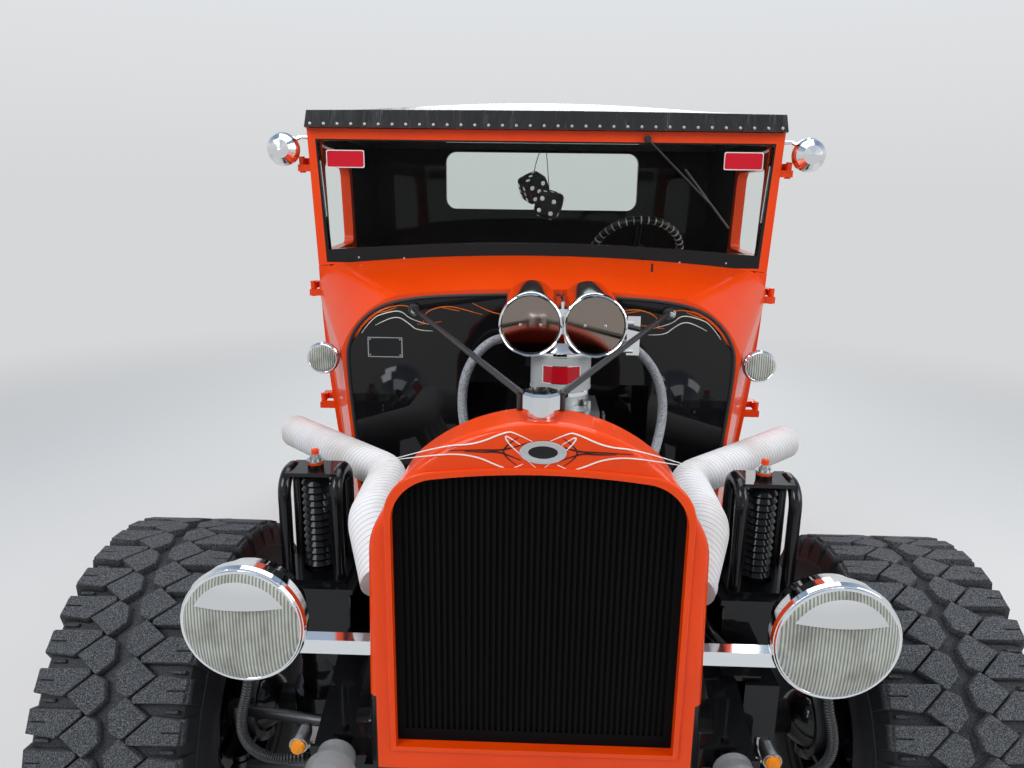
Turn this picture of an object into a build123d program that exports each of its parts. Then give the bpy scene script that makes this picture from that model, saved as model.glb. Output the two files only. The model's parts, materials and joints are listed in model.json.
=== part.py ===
# A closed-cab hot rod pickup on a lifted ladder chassis, with an open V8 and mud tyres.
# Millimetres. The car faces -Y, its left side is +X, +Z is up, and the ground is z = 0.
# The origin is on the ground, midway between the two axles.
import os
from math import asin, cos, pi, radians, sin, tan

from build123d import *

os.makedirs("parts", exist_ok=True)

# Driving dimensions of the whole car
WHEEL_BASE = 2540
TRACK = 1584
OVERHANG = 505
SEAT_GAP = 0.3
FIT_GAP = 0.1

# Wheels and tyres
TYRE_RADIUS = 415
TYRE_WIDTH = 318
TREAD_WIDTH = 270
TREAD_FACETS = 22
LUG_DEPTH = 16
BEAD_RADIUS = 195
RIM_WIDTH = 254
RIM_WALL = 6
FLANGE_HEIGHT = 11
SPINDLE_RADIUS = 25
HUB_RADIUS = 58
DISC_HOLES = 8

# Steering
KINGPIN_X = 640
KINGPIN_RADIUS = 12
BALL_RADIUS = 68
CUP_WALL = 15
CUP_LIP = 16
ARM_LENGTH = 130
STUD_RADIUS = 8
TRACK_ROD_DROP = 70
DRAG_LINK_RISE = 70
ROD_RADIUS = 12
STEER_BOX = (450, -170)

# Ladder frame
RAIL_WIDTH = 64
RAIL_DEPTH = 130
RAIL_TOP = 640
RAIL_X = 400
RAIL_NOSE_X = 350
RAIL_NOSE = -420
RAIL_TAPER_END = 100
KICK_START = 1750
KICK_END = 1980
KICK_RISE = 90
PAD_HEIGHT = 20

# Springs and shock towers
AXLE_TUBE_RADIUS = 38
SPRING_X = 480
SPRING_RADIUS = 54
SPRING_WIRE = 13
SPRING_SEAT = 470
BUCKET_TOP = 757
BUCKET_RADIUS = 68
PLATE = 12
TOWER_TOP = 1000
TOWER_TUBE = 13.5
HOOP_SPREAD = 55
HOOP_HALF_LENGTH = 50
SHOCK_RADIUS = 30
BOOT_RADIUS = 32

# Radiator
SHELL_FACE = -447
SHELL_DEPTH = 92
SHELL_WALL = 6
SHELL_FOOT = 622
SHELL_TOP = 1240
SHELL_HALF_FOOT = 279
SHELL_HALF_SHOULDER = 270
SHOULDER_HEIGHT = 1050
ARCH_RADIUS = 290
OPENING_HALF = 232
OPENING_FOOT = 668
OPENING_TOP = 1160
OPENING_CORNER = 75
OPENING_RISE = 22
SHELL_FRONT = 14
CORE_DEPTH = 60
FIN_PITCH = 10
FIN_DEPTH = 4
FIN_GAPS = 44
BEAD_WIDTH = 11
BEAD_RISE = 5
TAB_X = 333
TAB_Y = -400
TAB_RISE = 14
TAB_THICKNESS = 6

# Lamps
LAMP_X = 476
LAMP_HEIGHT = 892
LAMP_LENS = -458
LENS_RADIUS = 86
LENS_DOME = 14
LAMP_RIM = 103
VISOR_REACH = 23
VISOR_SHEET = 2.5
VISOR_FOOT = 38
LAMP_BAR_DROP = 74
LAMP_BAR_HEIGHT = LAMP_HEIGHT - LAMP_BAR_DROP
LAMP_BAR = 26
LAMP_BAR_Y = -385
LAMP_BAR_END = 405

# Engine
ENGINE_X = 45
CRANK_HEIGHT = 640
ENGINE_FRONT = -230
ENGINE_REAR = 270
DECK_HEIGHT = 215
HEAD_THICKNESS = 80
HEAD_HALF = 75
COVER_THICKNESS = 45
COVER_HALF = 50
COVER_RIB = 4
COVER_RIBS = (-30, -10, 10, 30)
CARB_Y = 75
CARB_BASE = 1060
CARB_TOP = 1160
BOWL_HEIGHT = 48
NECK_RADIUS = 66
BARREL_RADIUS = 66
BARREL_SPREAD = 67
BARREL_HEIGHT = 1312
BARREL_FRONT = 43
BARREL_LENGTH = 210
NECK_TOP = 1252
LINK_X = 157
LINK_Y = 104
LINK_DROP = 78

# Cab
FIREWALL_Y = 291
FIREWALL_SHEET = 6
SCREEN_Y = 563
POST_Y = 1200
CAB_REAR = 1600
CAB_FOOT = 660
CAB_WALL = 32
CAB_TOP = 1735.7
TUNNEL_TOP = 755
DOOR_FRONT = 604
DOOR_REAR = 1196
DOOR_FOOT = 705
DOOR_TOP = 1690
DOOR_GAP = 8
WINDOW_FOOT = 1400
WINDOW_MARGIN = 42
HANDLE_HEIGHT = 1270
HANDLE_X = 722
ROOF_CROWN = 1845
FLOOR_HEIGHT = 695

SEAT_TOP = 1400
WHEEL_GRIP = 150
SEAT_HALF = 520

# Windscreen: outer frame and glass
SCREEN_REAR = 593
SCREEN_HALF_FOOT = 612
SCREEN_FOOT = 1374
SCREEN_CROWN = 1408
SCREEN_HALF_HEAD = 628
SCREEN_HEAD = 1735
GLASS_HALF_FOOT = 582
GLASS_FOOT = 1418
GLASS_CROWN = 1443
GLASS_HALF_HEAD = 602
GLASS_HEAD = 1704
RECESS_REAR = 450
RECESS_TOP = 1120

# Fuel tank, on two crossmembers
TANK_FRONT = 1730
TANK_REAR = 2040
TANK_FOOT = 636

# Bed
BED_FRONT = 1640
BED_REAR = 2960
BED_HALF = 580
BED_FLOOR = 750
BED_TOP = 1050
BED_SHEET = 20
BED_ROLL = 16
BED_RIBS = (1780, 2300, 2820)
GATE_GAP = 6
GATE_PIN = 6


def back(distance):
    """The y of a point this far behind the front axle."""
    return distance - WHEEL_BASE / 2


def facing(distance, height=0, x=0):
    """An upright plane across the car, looking forward."""
    return Plane(origin=(x, back(distance), height), x_dir=(1, 0, 0), z_dir=(0, -1, 0))


def along(x, distance=0, height=0):
    """An upright plane along the car, looking to its left side."""
    return Plane(origin=(x, back(distance), height), x_dir=(0, 1, 0), z_dir=(1, 0, 0))


def level_plane(x, height):
    """A level plane whose second axis counts distances behind the front axle."""
    return Plane(origin=(x, back(0), height), x_dir=(1, 0, 0), z_dir=(0, 0, 1))


def spot(x, distance, height):
    """The point at this x and height, this far behind the front axle."""
    return (x, back(distance), height)


def block(xs, ys, zs, mode=Mode.ADD):
    """A box between two values on each axis; ys are distances behind the front axle."""
    middle = spot(sum(xs) / 2, sum(ys) / 2, sum(zs) / 2)
    with Locations(middle):
        Box(abs(xs[1] - xs[0]), abs(ys[1] - ys[0]), abs(zs[1] - zs[0]), mode=mode)


def bar(start, end, radius, mode=Mode.ADD, end_radius=None):
    """A round bar between two points, with a taper if its end has its own radius."""
    run = Vector(*end) - Vector(*start)
    with BuildSketch(Plane(origin=start, z_dir=run)) as near_end:
        Circle(radius)
    if end_radius is None:
        extrude(near_end.sketch, amount=run.length, mode=mode)
        return
    with BuildSketch(Plane(origin=end, z_dir=run)) as far_end:
        Circle(end_radius)
    loft([near_end.sketch.face(), far_end.sketch.face()], mode=mode)


def pipe(points, bend, radius, mode=Mode.ADD):
    """A round tube along straight runs with equal bends."""
    with BuildLine() as route:
        FilletPolyline(*points, radius=bend)
    with BuildSketch(Plane(origin=route.line @ 0, z_dir=route.line % 0)) as section:
        Circle(radius)
    sweep(section.sketch, path=route.line, mode=mode)


def hose(points, radius):
    """A hose along a route: each bend is as large as its two runs allow."""
    corners = [Vector(*spot(*point)) for point in points]
    bends = []
    for before, corner, after in zip(corners, corners[1:], corners[2:]):
        turn = radians((corner - before).get_angle(after - corner))
        shorter = min((corner - before).length, (after - corner).length)
        bends.append(0.45 * shorter / tan(turn / 2))
    print("bend radii", [round(bend) for bend in bends])
    with BuildLine() as route:
        FilletPolyline(*corners, radius=bends)
    with BuildSketch(Plane(origin=route.line @ 0, z_dir=route.line % 0)) as section:
        Circle(radius)
    sweep(section.sketch, path=route.line)
    run = sum(edge.length for edge in route.line.edges())
    print("length", round(run), "volume over section", round(run * pi * radius**2))


def cord_stub(route, length, radius):
    """A fitting that carries on from a route's first point, square to its first run."""
    end, after = (Vector(*spot(*point)) for point in route[:2])
    ahead = (end - after).normalized()
    root = end + ahead * length
    bar(tuple(end + ahead * SEAT_GAP), tuple(root), radius)
    return root


def turned(points, plane, axis, mode=Mode.ADD):
    """A solid of revolution from a closed outline of straight lines."""
    with BuildSketch(plane) as section:
        with BuildLine():
            Polyline(*points, close=True)
        make_face()
    revolve(section.sketch, axis=axis, mode=mode)


def keep(built, name):
    """Label one finished piece and write it out."""
    built.part.label = name
    export_step(built.part, f"parts/{name}.step")


def rail_side(distance):
    """The x of the rail's outer face in its tapered nose."""
    share = (distance - RAIL_NOSE) / (RAIL_TAPER_END - RAIL_NOSE)
    return RAIL_NOSE_X + (RAIL_X - RAIL_NOSE_X) * share + RAIL_WIDTH / 2


SIDES = (("left", 1), ("right", -1))
AXLES = (("front", 0), ("rear", WHEEL_BASE))
HALF_TRACK = TRACK / 2


# Tyres and rims. One profile of each, in distances from the wheel's middle plane. The tyre
# is faceted, and each facet carries two lugs, of the rows that its turn in the round has.
TREAD_HALF = TREAD_WIDTH / 2
WALL_HALF = TYRE_WIDTH / 2
BEAD_HALF = RIM_WIDTH / 2 - SEAT_GAP
BEAD_TOP = BEAD_RADIUS + FLANGE_HEIGHT + 1
GROOVE_RADIUS = TYRE_RADIUS - LUG_DEPTH
LUG_ROOT = GROOVE_RADIUS - 14
CARCASS = (  # distance from the middle plane, distance of the facet from the axis
    (BEAD_HALF, BEAD_TOP), (WALL_HALF, 292), (WALL_HALF - 9, 378), (TREAD_HALF, GROOVE_RADIUS),
)
LUG_ROWS = (  # which facets, inner and outer edge across the tread, slant, half length
    (0, TREAD_HALF - 58, WALL_HALF - 7, 9, 38), (0, -62, -5, 13, 41),
    (1, 5, 62, -13, 41), (1, 7 - WALL_HALF, 58 - TREAD_HALF, -9, 38),
)
FACET_TURN = 360 / TREAD_FACETS


def tread_ring(radius, distance):
    """One station of the faceted tyre, with a facet square to the x axis."""
    with BuildSketch(Plane.XY.offset(distance)) as ring:
        RegularPolygon(radius, TREAD_FACETS, major_radius=False, rotation=FACET_TURN / 2)
    return ring.sketch


lug_groups = []
for parity in (0, 1):
    with BuildPart() as lugs:
        with BuildSketch(Plane(origin=(LUG_ROOT, 0, 0), x_dir=(0, 0, 1), z_dir=(1, 0, 0))):
            for facets, inner_u, outer_u, slant, half in LUG_ROWS:
                if facets == parity:
                    Polygon(
                        (inner_u, slant - half), (outer_u, -slant - half), (outer_u, half - slant),
                        (inner_u, half + slant), align=None,
                    )
        extrude(amount=TYRE_RADIUS - LUG_ROOT)
    lug_groups.append(lugs.part)

with BuildPart() as tyre_form:
    stations = [(-u, radius) for u, radius in CARCASS]
    stations += [(u, radius) for u, radius in reversed(CARCASS)]
    loft([tread_ring(radius, u).face() for u, radius in stations], ruled=True)
    for parity, group in enumerate(lug_groups):
        with PolarLocations(0, TREAD_FACETS // 2, start_angle=parity * FACET_TURN):
            add(group)
    bore = tread_ring(BEAD_RADIUS + SEAT_GAP, -WALL_HALF)
    extrude(bore, amount=2 * WALL_HALF, mode=Mode.SUBTRACT)

for axle_name, axle_y in AXLES:
    for side_name, hand in SIDES:
        hub_plane = facing(axle_y, TYRE_RADIUS, hand * HALF_TRACK)
        hub_axis = Axis(spot(0, axle_y, TYRE_RADIUS), (1, 0, 0))
        upright = Plane(origin=hub_plane.origin, x_dir=(0, 0, 1), z_dir=(1, 0, 0))
        with BuildPart() as tyre:
            add(tyre_form.part.moved(upright.location))
        keep(tyre, f"tyre_{axle_name}_{side_name}")

        well = BEAD_RADIUS - 24
        lip = RIM_WIDTH / 2
        edge = lip + RIM_WALL
        rim_outline = (
            (-edge, BEAD_RADIUS + FLANGE_HEIGHT), (-lip, BEAD_RADIUS + FLANGE_HEIGHT),
            (-lip, BEAD_RADIUS), (-66, BEAD_RADIUS), (-48, well), (20, well), (38, BEAD_RADIUS),
            (lip, BEAD_RADIUS), (lip, BEAD_RADIUS + FLANGE_HEIGHT), (edge, BEAD_RADIUS + FLANGE_HEIGHT),
            (edge, BEAD_RADIUS - RIM_WALL), (41, BEAD_RADIUS - RIM_WALL), (23, well - RIM_WALL),
            (-51, well - RIM_WALL), (-69, BEAD_RADIUS - RIM_WALL), (-edge, BEAD_RADIUS - RIM_WALL),
        )
        centre_outline = (
            (-46, SPINDLE_RADIUS + FIT_GAP), (-46, 135), (-36, 135), (-36, HUB_RADIUS), (-8, HUB_RADIUS),
            (-8, 110), (-22, 150), (-22, well - 3), (-12, well - 3), (-12, 152), (2, 112), (2, HUB_RADIUS),
            (48, 42), (56, 30), (60, 0), (52, 0), (52, SPINDLE_RADIUS + FIT_GAP),
        )
        with BuildPart() as rim:
            turned([(hand * u, v) for u, v in rim_outline], hub_plane, hub_axis)
            turned([(hand * u, v) for u, v in centre_outline], hub_plane, hub_axis)
            with BuildSketch(along(hand * (HALF_TRACK - 40), axle_y, TYRE_RADIUS)) as windows:
                with PolarLocations(130, DISC_HOLES):
                    RectangleRounded(34, 44, 12)
            extrude(windows.sketch, amount=hand * 70, mode=Mode.SUBTRACT)
        keep(rim, f"rim_{axle_name}_{side_name}")


CONDUIT_RADIUS = 9
CONDUIT_ROUTE = (  # x, distance behind the front axle, height
    (484, -425, 780), (489, -426, 748), (500, -429, 711), (504, -431, 674), (493, -431, 641),
    (466, -429, 619), (433, -421, 609), (404, -408, 606),
)

# Ladder frame: tapered nose rails, straight rails with a rear kick-up, crossmembers,
# spring buckets on gussets and the pads that the cab and the bed stand on.
RAIL_FOOT = RAIL_TOP - RAIL_DEPTH
RAIL_INSIDE = RAIL_X - RAIL_WIDTH / 2
RAIL_REAR = WHEEL_BASE + 460
KICK_TOP = RAIL_TOP + KICK_RISE
CROSSMEMBERS = (  # distance behind the front axle, height of its middle, radius
    (1010, 505, 18),
    (TANK_FRONT + 40, TANK_FOOT - 18, 18),
    (TANK_REAR - 50, TANK_FOOT - 18, 18),
    (RAIL_REAR - 30, KICK_TOP - 65, 26),
)
CAB_PADS = (340, 900, 1540)
BED_PADS = (2060, 2860)

with BuildPart() as frame:
    for _, hand in SIDES:
        with BuildSketch(facing(RAIL_NOSE, RAIL_TOP - RAIL_DEPTH / 2, hand * RAIL_NOSE_X)) as nose:
            Rectangle(RAIL_WIDTH, RAIL_DEPTH)
        with BuildSketch(facing(RAIL_TAPER_END, RAIL_TOP - RAIL_DEPTH / 2, hand * RAIL_X)) as taper:
            Rectangle(RAIL_WIDTH, RAIL_DEPTH)
        loft([nose.sketch.face(), taper.sketch.face()], ruled=True)
        with BuildSketch(along(hand * RAIL_X)) as side_view:
            with BuildLine():
                Polyline(
                    (RAIL_TAPER_END, RAIL_FOOT), (KICK_START, RAIL_FOOT),
                    (KICK_END, RAIL_FOOT + KICK_RISE), (RAIL_REAR, RAIL_FOOT + KICK_RISE),
                    (RAIL_REAR, KICK_TOP), (KICK_END, KICK_TOP), (KICK_START, RAIL_TOP),
                    (RAIL_TAPER_END, RAIL_TOP), close=True,
                )
            make_face()
        extrude(side_view.sketch, amount=RAIL_WIDTH / 2, both=True)
        block(
            sorted((hand * (RAIL_NOSE_X - 37), hand * (RAIL_NOSE_X + 37))),
            (RAIL_NOSE - 6, RAIL_NOSE), (RAIL_FOOT - 2, RAIL_TOP + 2),
        )
        block(
            sorted((hand * 388, hand * 556)), (-95, 95), (BUCKET_TOP - PLATE, BUCKET_TOP)
        )
        for gusset_y in (-95, 85):
            with BuildSketch(facing(gusset_y)) as gusset:
                with BuildLine():
                    Polyline(
                        (hand * 395, BUCKET_TOP - PLATE), (hand * 556, BUCKET_TOP - PLATE),
                        (hand * 556, BUCKET_TOP - 60), (hand * 430, 570), (hand * 395, 570), close=True,
                    )
                make_face()
            extrude(gusset.sketch, amount=-10)
        bar(
            spot(hand * SPRING_X, 0, BUCKET_TOP - 52), spot(hand * SPRING_X, 0, BUCKET_TOP - PLATE),
            BUCKET_RADIUS,
        )
        bar(
            spot(hand * SPRING_X, 0, BUCKET_TOP - 53), spot(hand * SPRING_X, 0, BUCKET_TOP - PLATE),
            BUCKET_RADIUS - 8, Mode.SUBTRACT,
        )
        bar(
            spot(hand * SPRING_X, 0, BUCKET_TOP - 60), spot(hand * SPRING_X, 0, BUCKET_TOP + 1),
            SHOCK_RADIUS + 4, Mode.SUBTRACT,
        )
        for pad_y in CAB_PADS:
            block(
                sorted((hand * (RAIL_X - 25), hand * (RAIL_X + 25))),
                (pad_y - 30, pad_y + 30), (RAIL_TOP, RAIL_TOP + PAD_HEIGHT),
            )
        for pad_y in BED_PADS:
            block(
                sorted((hand * (RAIL_X - 25), hand * (RAIL_X + 25))),
                (pad_y - 30, pad_y + 30), (KICK_TOP, KICK_TOP + PAD_HEIGHT),
            )
        bar(
            spot(hand * 420, WHEEL_BASE, RAIL_FOOT + KICK_RISE - 4),
            spot(hand * 420, WHEEL_BASE, RAIL_FOOT + KICK_RISE + 10), BUCKET_RADIUS,
        )
        bar(spot(hand * TAB_X, TAB_Y, RAIL_TOP), spot(hand * TAB_X, TAB_Y, RAIL_TOP + TAB_RISE), 15)
        cord_stub([(hand * x, y, z) for x, y, z in reversed(CONDUIT_ROUTE)], 24, CONDUIT_RADIUS + 2)
keep(frame, "frame")

# The front crossmember carries the radiator and fits between the tapered nose rails.
NOSE_BEAM_REAR = SHELL_FACE + 95
NOSE_BEAM_HALF = 290
with BuildPart() as crossmembers:
    nose_inside = rail_side(RAIL_NOSE) - RAIL_WIDTH
    beam_inside = rail_side(NOSE_BEAM_REAR) - RAIL_WIDTH
    with BuildSketch(Plane.XY.offset(SHELL_FOOT - 50)) as nose_beam:
        with BuildLine():
            Polyline(
                (-NOSE_BEAM_HALF, back(SHELL_FACE + 5)), (NOSE_BEAM_HALF, back(SHELL_FACE + 5)),
                (NOSE_BEAM_HALF, back(RAIL_NOSE)), (nose_inside, back(RAIL_NOSE)),
                (beam_inside, back(NOSE_BEAM_REAR)), (-beam_inside, back(NOSE_BEAM_REAR)),
                (-nose_inside, back(RAIL_NOSE)), (-NOSE_BEAM_HALF, back(RAIL_NOSE)), close=True,
            )
        make_face()
    extrude(nose_beam.sketch, amount=50 - SEAT_GAP)
    for cross_y, cross_z, cross_r in CROSSMEMBERS:
        bar(spot(-RAIL_INSIDE, cross_y, cross_z), spot(RAIL_INSIDE, cross_y, cross_z), cross_r)
keep(crossmembers, "crossmembers")


# Shock towers: two inverted-U tubes a side on a base ring, joined by a top plate.
with BuildPart() as towers:
    for _, hand in SIDES:
        for spread in (-HOOP_SPREAD, HOOP_SPREAD):
            hoop_x = hand * SPRING_X + spread
            pipe(
                [
                    spot(hoop_x, -HOOP_HALF_LENGTH, BUCKET_TOP), spot(hoop_x, -HOOP_HALF_LENGTH, TOWER_TOP - 10),
                    spot(hoop_x, HOOP_HALF_LENGTH, TOWER_TOP - 10), spot(hoop_x, HOOP_HALF_LENGTH, BUCKET_TOP),
                ],
                42, TOWER_TUBE,
            )
        block(
            (hand * SPRING_X - HOOP_SPREAD - 18, hand * SPRING_X + HOOP_SPREAD + 18),
            (-HOOP_HALF_LENGTH - 22, HOOP_HALF_LENGTH + 22), (BUCKET_TOP, BUCKET_TOP + 8),
        )
        block(
            (hand * SPRING_X - HOOP_SPREAD, hand * SPRING_X + HOOP_SPREAD),
            (-HOOP_HALF_LENGTH + 8, HOOP_HALF_LENGTH - 8), (TOWER_TOP - 12, TOWER_TOP - 4),
        )
        bar(
            spot(hand * SPRING_X, 0, BUCKET_TOP - 1), spot(hand * SPRING_X, 0, BUCKET_TOP + 9),
            BOOT_RADIUS + 4, Mode.SUBTRACT,
        )
        bar(
            spot(hand * SPRING_X, 0, TOWER_TOP - 13), spot(hand * SPRING_X, 0, TOWER_TOP - 3),
            9, Mode.SUBTRACT,
        )
keep(towers, "shock_towers")


# Shock absorbers: orange body, ribbed rubber boot, bush, washers, nut and stud.
BOOT_RIBS = 14
BOOT_FOOT = 768
BOOT_TOP = TOWER_TOP - 14
rib_pitch = (BOOT_TOP - BOOT_FOOT) / BOOT_RIBS
shock_outline = [(0, SPRING_SEAT + SEAT_GAP), (18, SPRING_SEAT + SEAT_GAP), (18, 500), (SHOCK_RADIUS, 505)]
shock_outline += [(SHOCK_RADIUS, 735), (24, 740), (24, BOOT_FOOT)]
for rib in range(BOOT_RIBS):
    rib_z = BOOT_FOOT + rib * rib_pitch
    shock_outline += [(BOOT_RADIUS - 6, rib_z + 1), (BOOT_RADIUS, rib_z + rib_pitch / 2)]
shock_outline += [(BOOT_RADIUS - 6, BOOT_TOP), (8, BOOT_TOP), (8, TOWER_TOP - 4 + SEAT_GAP)]
shock_outline += [(17, TOWER_TOP - 4 + SEAT_GAP), (18, 1010), (19, 1010), (19, 1013), (12, 1013)]
shock_outline += [(12, 1022), (8, 1022), (8, 1036), (0, 1038)]

with BuildPart() as shocks:
    for _, hand in SIDES:
        turned(
            shock_outline, facing(0, 0, hand * SPRING_X),
            Axis(spot(hand * SPRING_X, 0, 0), (0, 0, 1)),
        )
keep(shocks, "front_shocks")


def coil(x, distance, foot, head, turns):
    """A coil spring with a flat ring at each end."""
    ring = 8
    middle = SPRING_RADIUS - SPRING_WIRE / 2
    for ring_z in (foot, head - ring):
        with BuildSketch(Plane.XY.offset(ring_z)) as end_ring:
            with Locations((x, back(distance))):
                Circle(SPRING_RADIUS)
                Circle(SPRING_RADIUS - SPRING_WIRE - 2, mode=Mode.SUBTRACT)
        extrude(end_ring.sketch, amount=ring)
    pitch = (head - foot - ring) / turns
    waist = SPRING_WIRE / 2 - 3.5
    outside, inside = [], []
    for turn in range(turns):
        low = foot + ring / 2 + turn * pitch
        for z, half in ((low, waist), (low + pitch / 2, SPRING_WIRE / 2)):
            outside.append((middle + half, z))
            inside.append((middle - half, z))
    top_z = head - ring / 2
    outline = [*outside, (middle + waist, top_z), (middle - waist, top_z), *reversed(inside)]
    turned(outline, facing(distance, 0, x), Axis(spot(x, distance, 0), (0, 0, 1)))


with BuildPart() as front_springs:
    for _, hand in SIDES:
        coil(hand * SPRING_X, 0, SPRING_SEAT, BUCKET_TOP - PLATE - SEAT_GAP, 5)
keep(front_springs, "front_springs")

REAR_SPRING_X = 420
REAR_SPRING_TOP = RAIL_FOOT + KICK_RISE - 4
with BuildPart() as rear_springs:
    for _, hand in SIDES:
        coil(hand * REAR_SPRING_X, WHEEL_BASE, SPRING_SEAT, REAR_SPRING_TOP - SEAT_GAP, 3)
keep(rear_springs, "rear_springs")


# Axles. The front one carries a swivel ball at each end, the rear one its stub spindles.
DIFF_X = -150
DIFF_RADIUS = 108
SPINDLE_END = HALF_TRACK + 48


def spring_seats(x, distance):
    for _, hand in SIDES:
        bar(spot(hand * x, distance, TYRE_RADIUS), spot(hand * x, distance, SPRING_SEAT), 72)


with BuildPart() as front_axle:
    bar(
        spot(-KINGPIN_X, 0, TYRE_RADIUS), spot(KINGPIN_X, 0, TYRE_RADIUS), AXLE_TUBE_RADIUS
    )
    with Locations(spot(DIFF_X, 0, TYRE_RADIUS)):
        Sphere(DIFF_RADIUS)
    bar(spot(DIFF_X, 60, TYRE_RADIUS + 15), spot(DIFF_X, 172, TYRE_RADIUS + 15), 48)
    spring_seats(SPRING_X, 0)
    for _, hand in SIDES:
        with Locations(spot(hand * KINGPIN_X, 0, TYRE_RADIUS)):
            Sphere(BALL_RADIUS)
        bar(
            spot(hand * KINGPIN_X, 0, TYRE_RADIUS - 90), spot(hand * KINGPIN_X, 0, TYRE_RADIUS + 90),
            KINGPIN_RADIUS + FIT_GAP, Mode.SUBTRACT,
        )
keep(front_axle, "front_axle")

with BuildPart() as rear_axle:
    bar(spot(-735, WHEEL_BASE, TYRE_RADIUS), spot(735, WHEEL_BASE, TYRE_RADIUS), AXLE_TUBE_RADIUS + 4)
    bar(
        spot(-SPINDLE_END, WHEEL_BASE, TYRE_RADIUS), spot(SPINDLE_END, WHEEL_BASE, TYRE_RADIUS),
        SPINDLE_RADIUS,
    )
    with Locations(spot(0, WHEEL_BASE, TYRE_RADIUS)):
        Sphere(DIFF_RADIUS + 15)
    bar(spot(0, WHEEL_BASE - 190, TYRE_RADIUS + 25), spot(0, WHEEL_BASE - 60, TYRE_RADIUS + 25), 48)
    spring_seats(REAR_SPRING_X, WHEEL_BASE)
    for _, hand in SIDES:
        bar(
            spot(hand * 715, WHEEL_BASE, TYRE_RADIUS), spot(hand * 735, WHEEL_BASE, TYRE_RADIUS), 90
        )
keep(rear_axle, "rear_axle")


# Steering knuckles: a cup round the swivel ball, kingpins, spindle and steering arms.
TRACK_ROD_Z = TYRE_RADIUS - TRACK_ROD_DROP
DRAG_LINK_Z = TYRE_RADIUS + DRAG_LINK_RISE
ARM_HALF = 6
CUP_INSIDE = BALL_RADIUS + 2.5

for side_name, hand in SIDES:
    with BuildPart() as knuckle:
        with BuildSketch(facing(0, TYRE_RADIUS, hand * KINGPIN_X)) as cup:
            with BuildLine():
                inner, outer = CUP_INSIDE, CUP_INSIDE + CUP_WALL
                inner_rim = (-hand * CUP_LIP, (inner**2 - CUP_LIP**2) ** 0.5)
                outer_rim = (-hand * CUP_LIP, (outer**2 - CUP_LIP**2) ** 0.5)
                middle = cos(radians(45))
                ThreePointArc(inner_rim, (hand * inner * middle, inner * middle), (hand * inner, 0))
                Line((hand * inner, 0), (hand * outer, 0))
                ThreePointArc((hand * outer, 0), (hand * outer * middle, outer * middle), outer_rim)
                Line(outer_rim, inner_rim)
            make_face()
        revolve(cup.sketch, axis=Axis(spot(0, 0, TYRE_RADIUS), (1, 0, 0)))
        bar(
            spot(hand * (KINGPIN_X + CUP_INSIDE + 6), 0, TYRE_RADIUS),
            spot(hand * (HALF_TRACK - 52), 0, TYRE_RADIUS), 52,
        )
        bar(
            spot(hand * (KINGPIN_X + CUP_INSIDE + 6), 0, TYRE_RADIUS),
            spot(hand * SPINDLE_END, 0, TYRE_RADIUS), SPINDLE_RADIUS,
        )
        for end in (-1, 1):
            bar(
                spot(hand * KINGPIN_X, 0, TYRE_RADIUS + end * 45),
                spot(hand * KINGPIN_X, 0, TYRE_RADIUS + end * 92), KINGPIN_RADIUS,
            )
            bar(
                spot(hand * KINGPIN_X, 0, TYRE_RADIUS + end * (CUP_INSIDE + 4)),
                spot(hand * KINGPIN_X, 0, TYRE_RADIUS + end * 96), 26,
            )
        arms = [(TRACK_ROD_Z, 1)]
        if hand < 0:
            arms.append((DRAG_LINK_Z, -1))
        for rod_z, toward in arms:
            arm_z = rod_z + toward * 24
            block(
                (hand * KINGPIN_X - 14, hand * KINGPIN_X + 14), (-ARM_LENGTH, -64),
                (arm_z - ARM_HALF, arm_z + ARM_HALF),
            )
            bar(
                spot(hand * KINGPIN_X, -ARM_LENGTH, arm_z - ARM_HALF),
                spot(hand * KINGPIN_X, -ARM_LENGTH, arm_z + ARM_HALF), 16,
            )
            bar(
                spot(hand * KINGPIN_X, -ARM_LENGTH, arm_z),
                spot(hand * KINGPIN_X, -ARM_LENGTH, rod_z - toward * 16), STUD_RADIUS,
            )
    keep(knuckle, f"knuckle_{side_name}")


def linkage(start, end, height):
    """A rod with a bored eye at each end; both studs stand upright."""
    bar(spot(*start, height), spot(*end, height), ROD_RADIUS)
    for x, distance in (start, end):
        bar(spot(x, distance, height - 14), spot(x, distance, height + 14), 18)
    for x, distance in (start, end):
        bar(
            spot(x, distance, height - 20), spot(x, distance, height + 20), STUD_RADIUS + FIT_GAP,
            Mode.SUBTRACT,
        )


with BuildPart() as track_rod:
    linkage((KINGPIN_X, -ARM_LENGTH), (-KINGPIN_X, -ARM_LENGTH), TRACK_ROD_Z)
keep(track_rod, "track_rod")

BOX_X, BOX_Y = STEER_BOX
BOX_FOOT = RAIL_TOP - RAIL_DEPTH + 11
BOX_SHAFT = 14
with BuildPart() as drag_link:
    linkage((BOX_X, BOX_Y - ARM_LENGTH), (-KINGPIN_X, -ARM_LENGTH), DRAG_LINK_Z)
keep(drag_link, "drag_link")

with BuildPart() as drop_arm:
    drop_z = DRAG_LINK_Z - 24
    block((BOX_X - 14, BOX_X + 14), (BOX_Y - ARM_LENGTH, BOX_Y), (drop_z - ARM_HALF, drop_z + ARM_HALF))
    for end_y in (BOX_Y - ARM_LENGTH, BOX_Y):
        bar(spot(BOX_X, end_y, drop_z - ARM_HALF), spot(BOX_X, end_y, drop_z + ARM_HALF), 18)
    bar(
        spot(BOX_X, BOX_Y - ARM_LENGTH, drop_z), spot(BOX_X, BOX_Y - ARM_LENGTH, DRAG_LINK_Z + 16),
        STUD_RADIUS,
    )
    bar(spot(BOX_X, BOX_Y, drop_z), spot(BOX_X, BOX_Y, BOX_FOOT + 28), BOX_SHAFT)
keep(drop_arm, "drop_arm")

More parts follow.
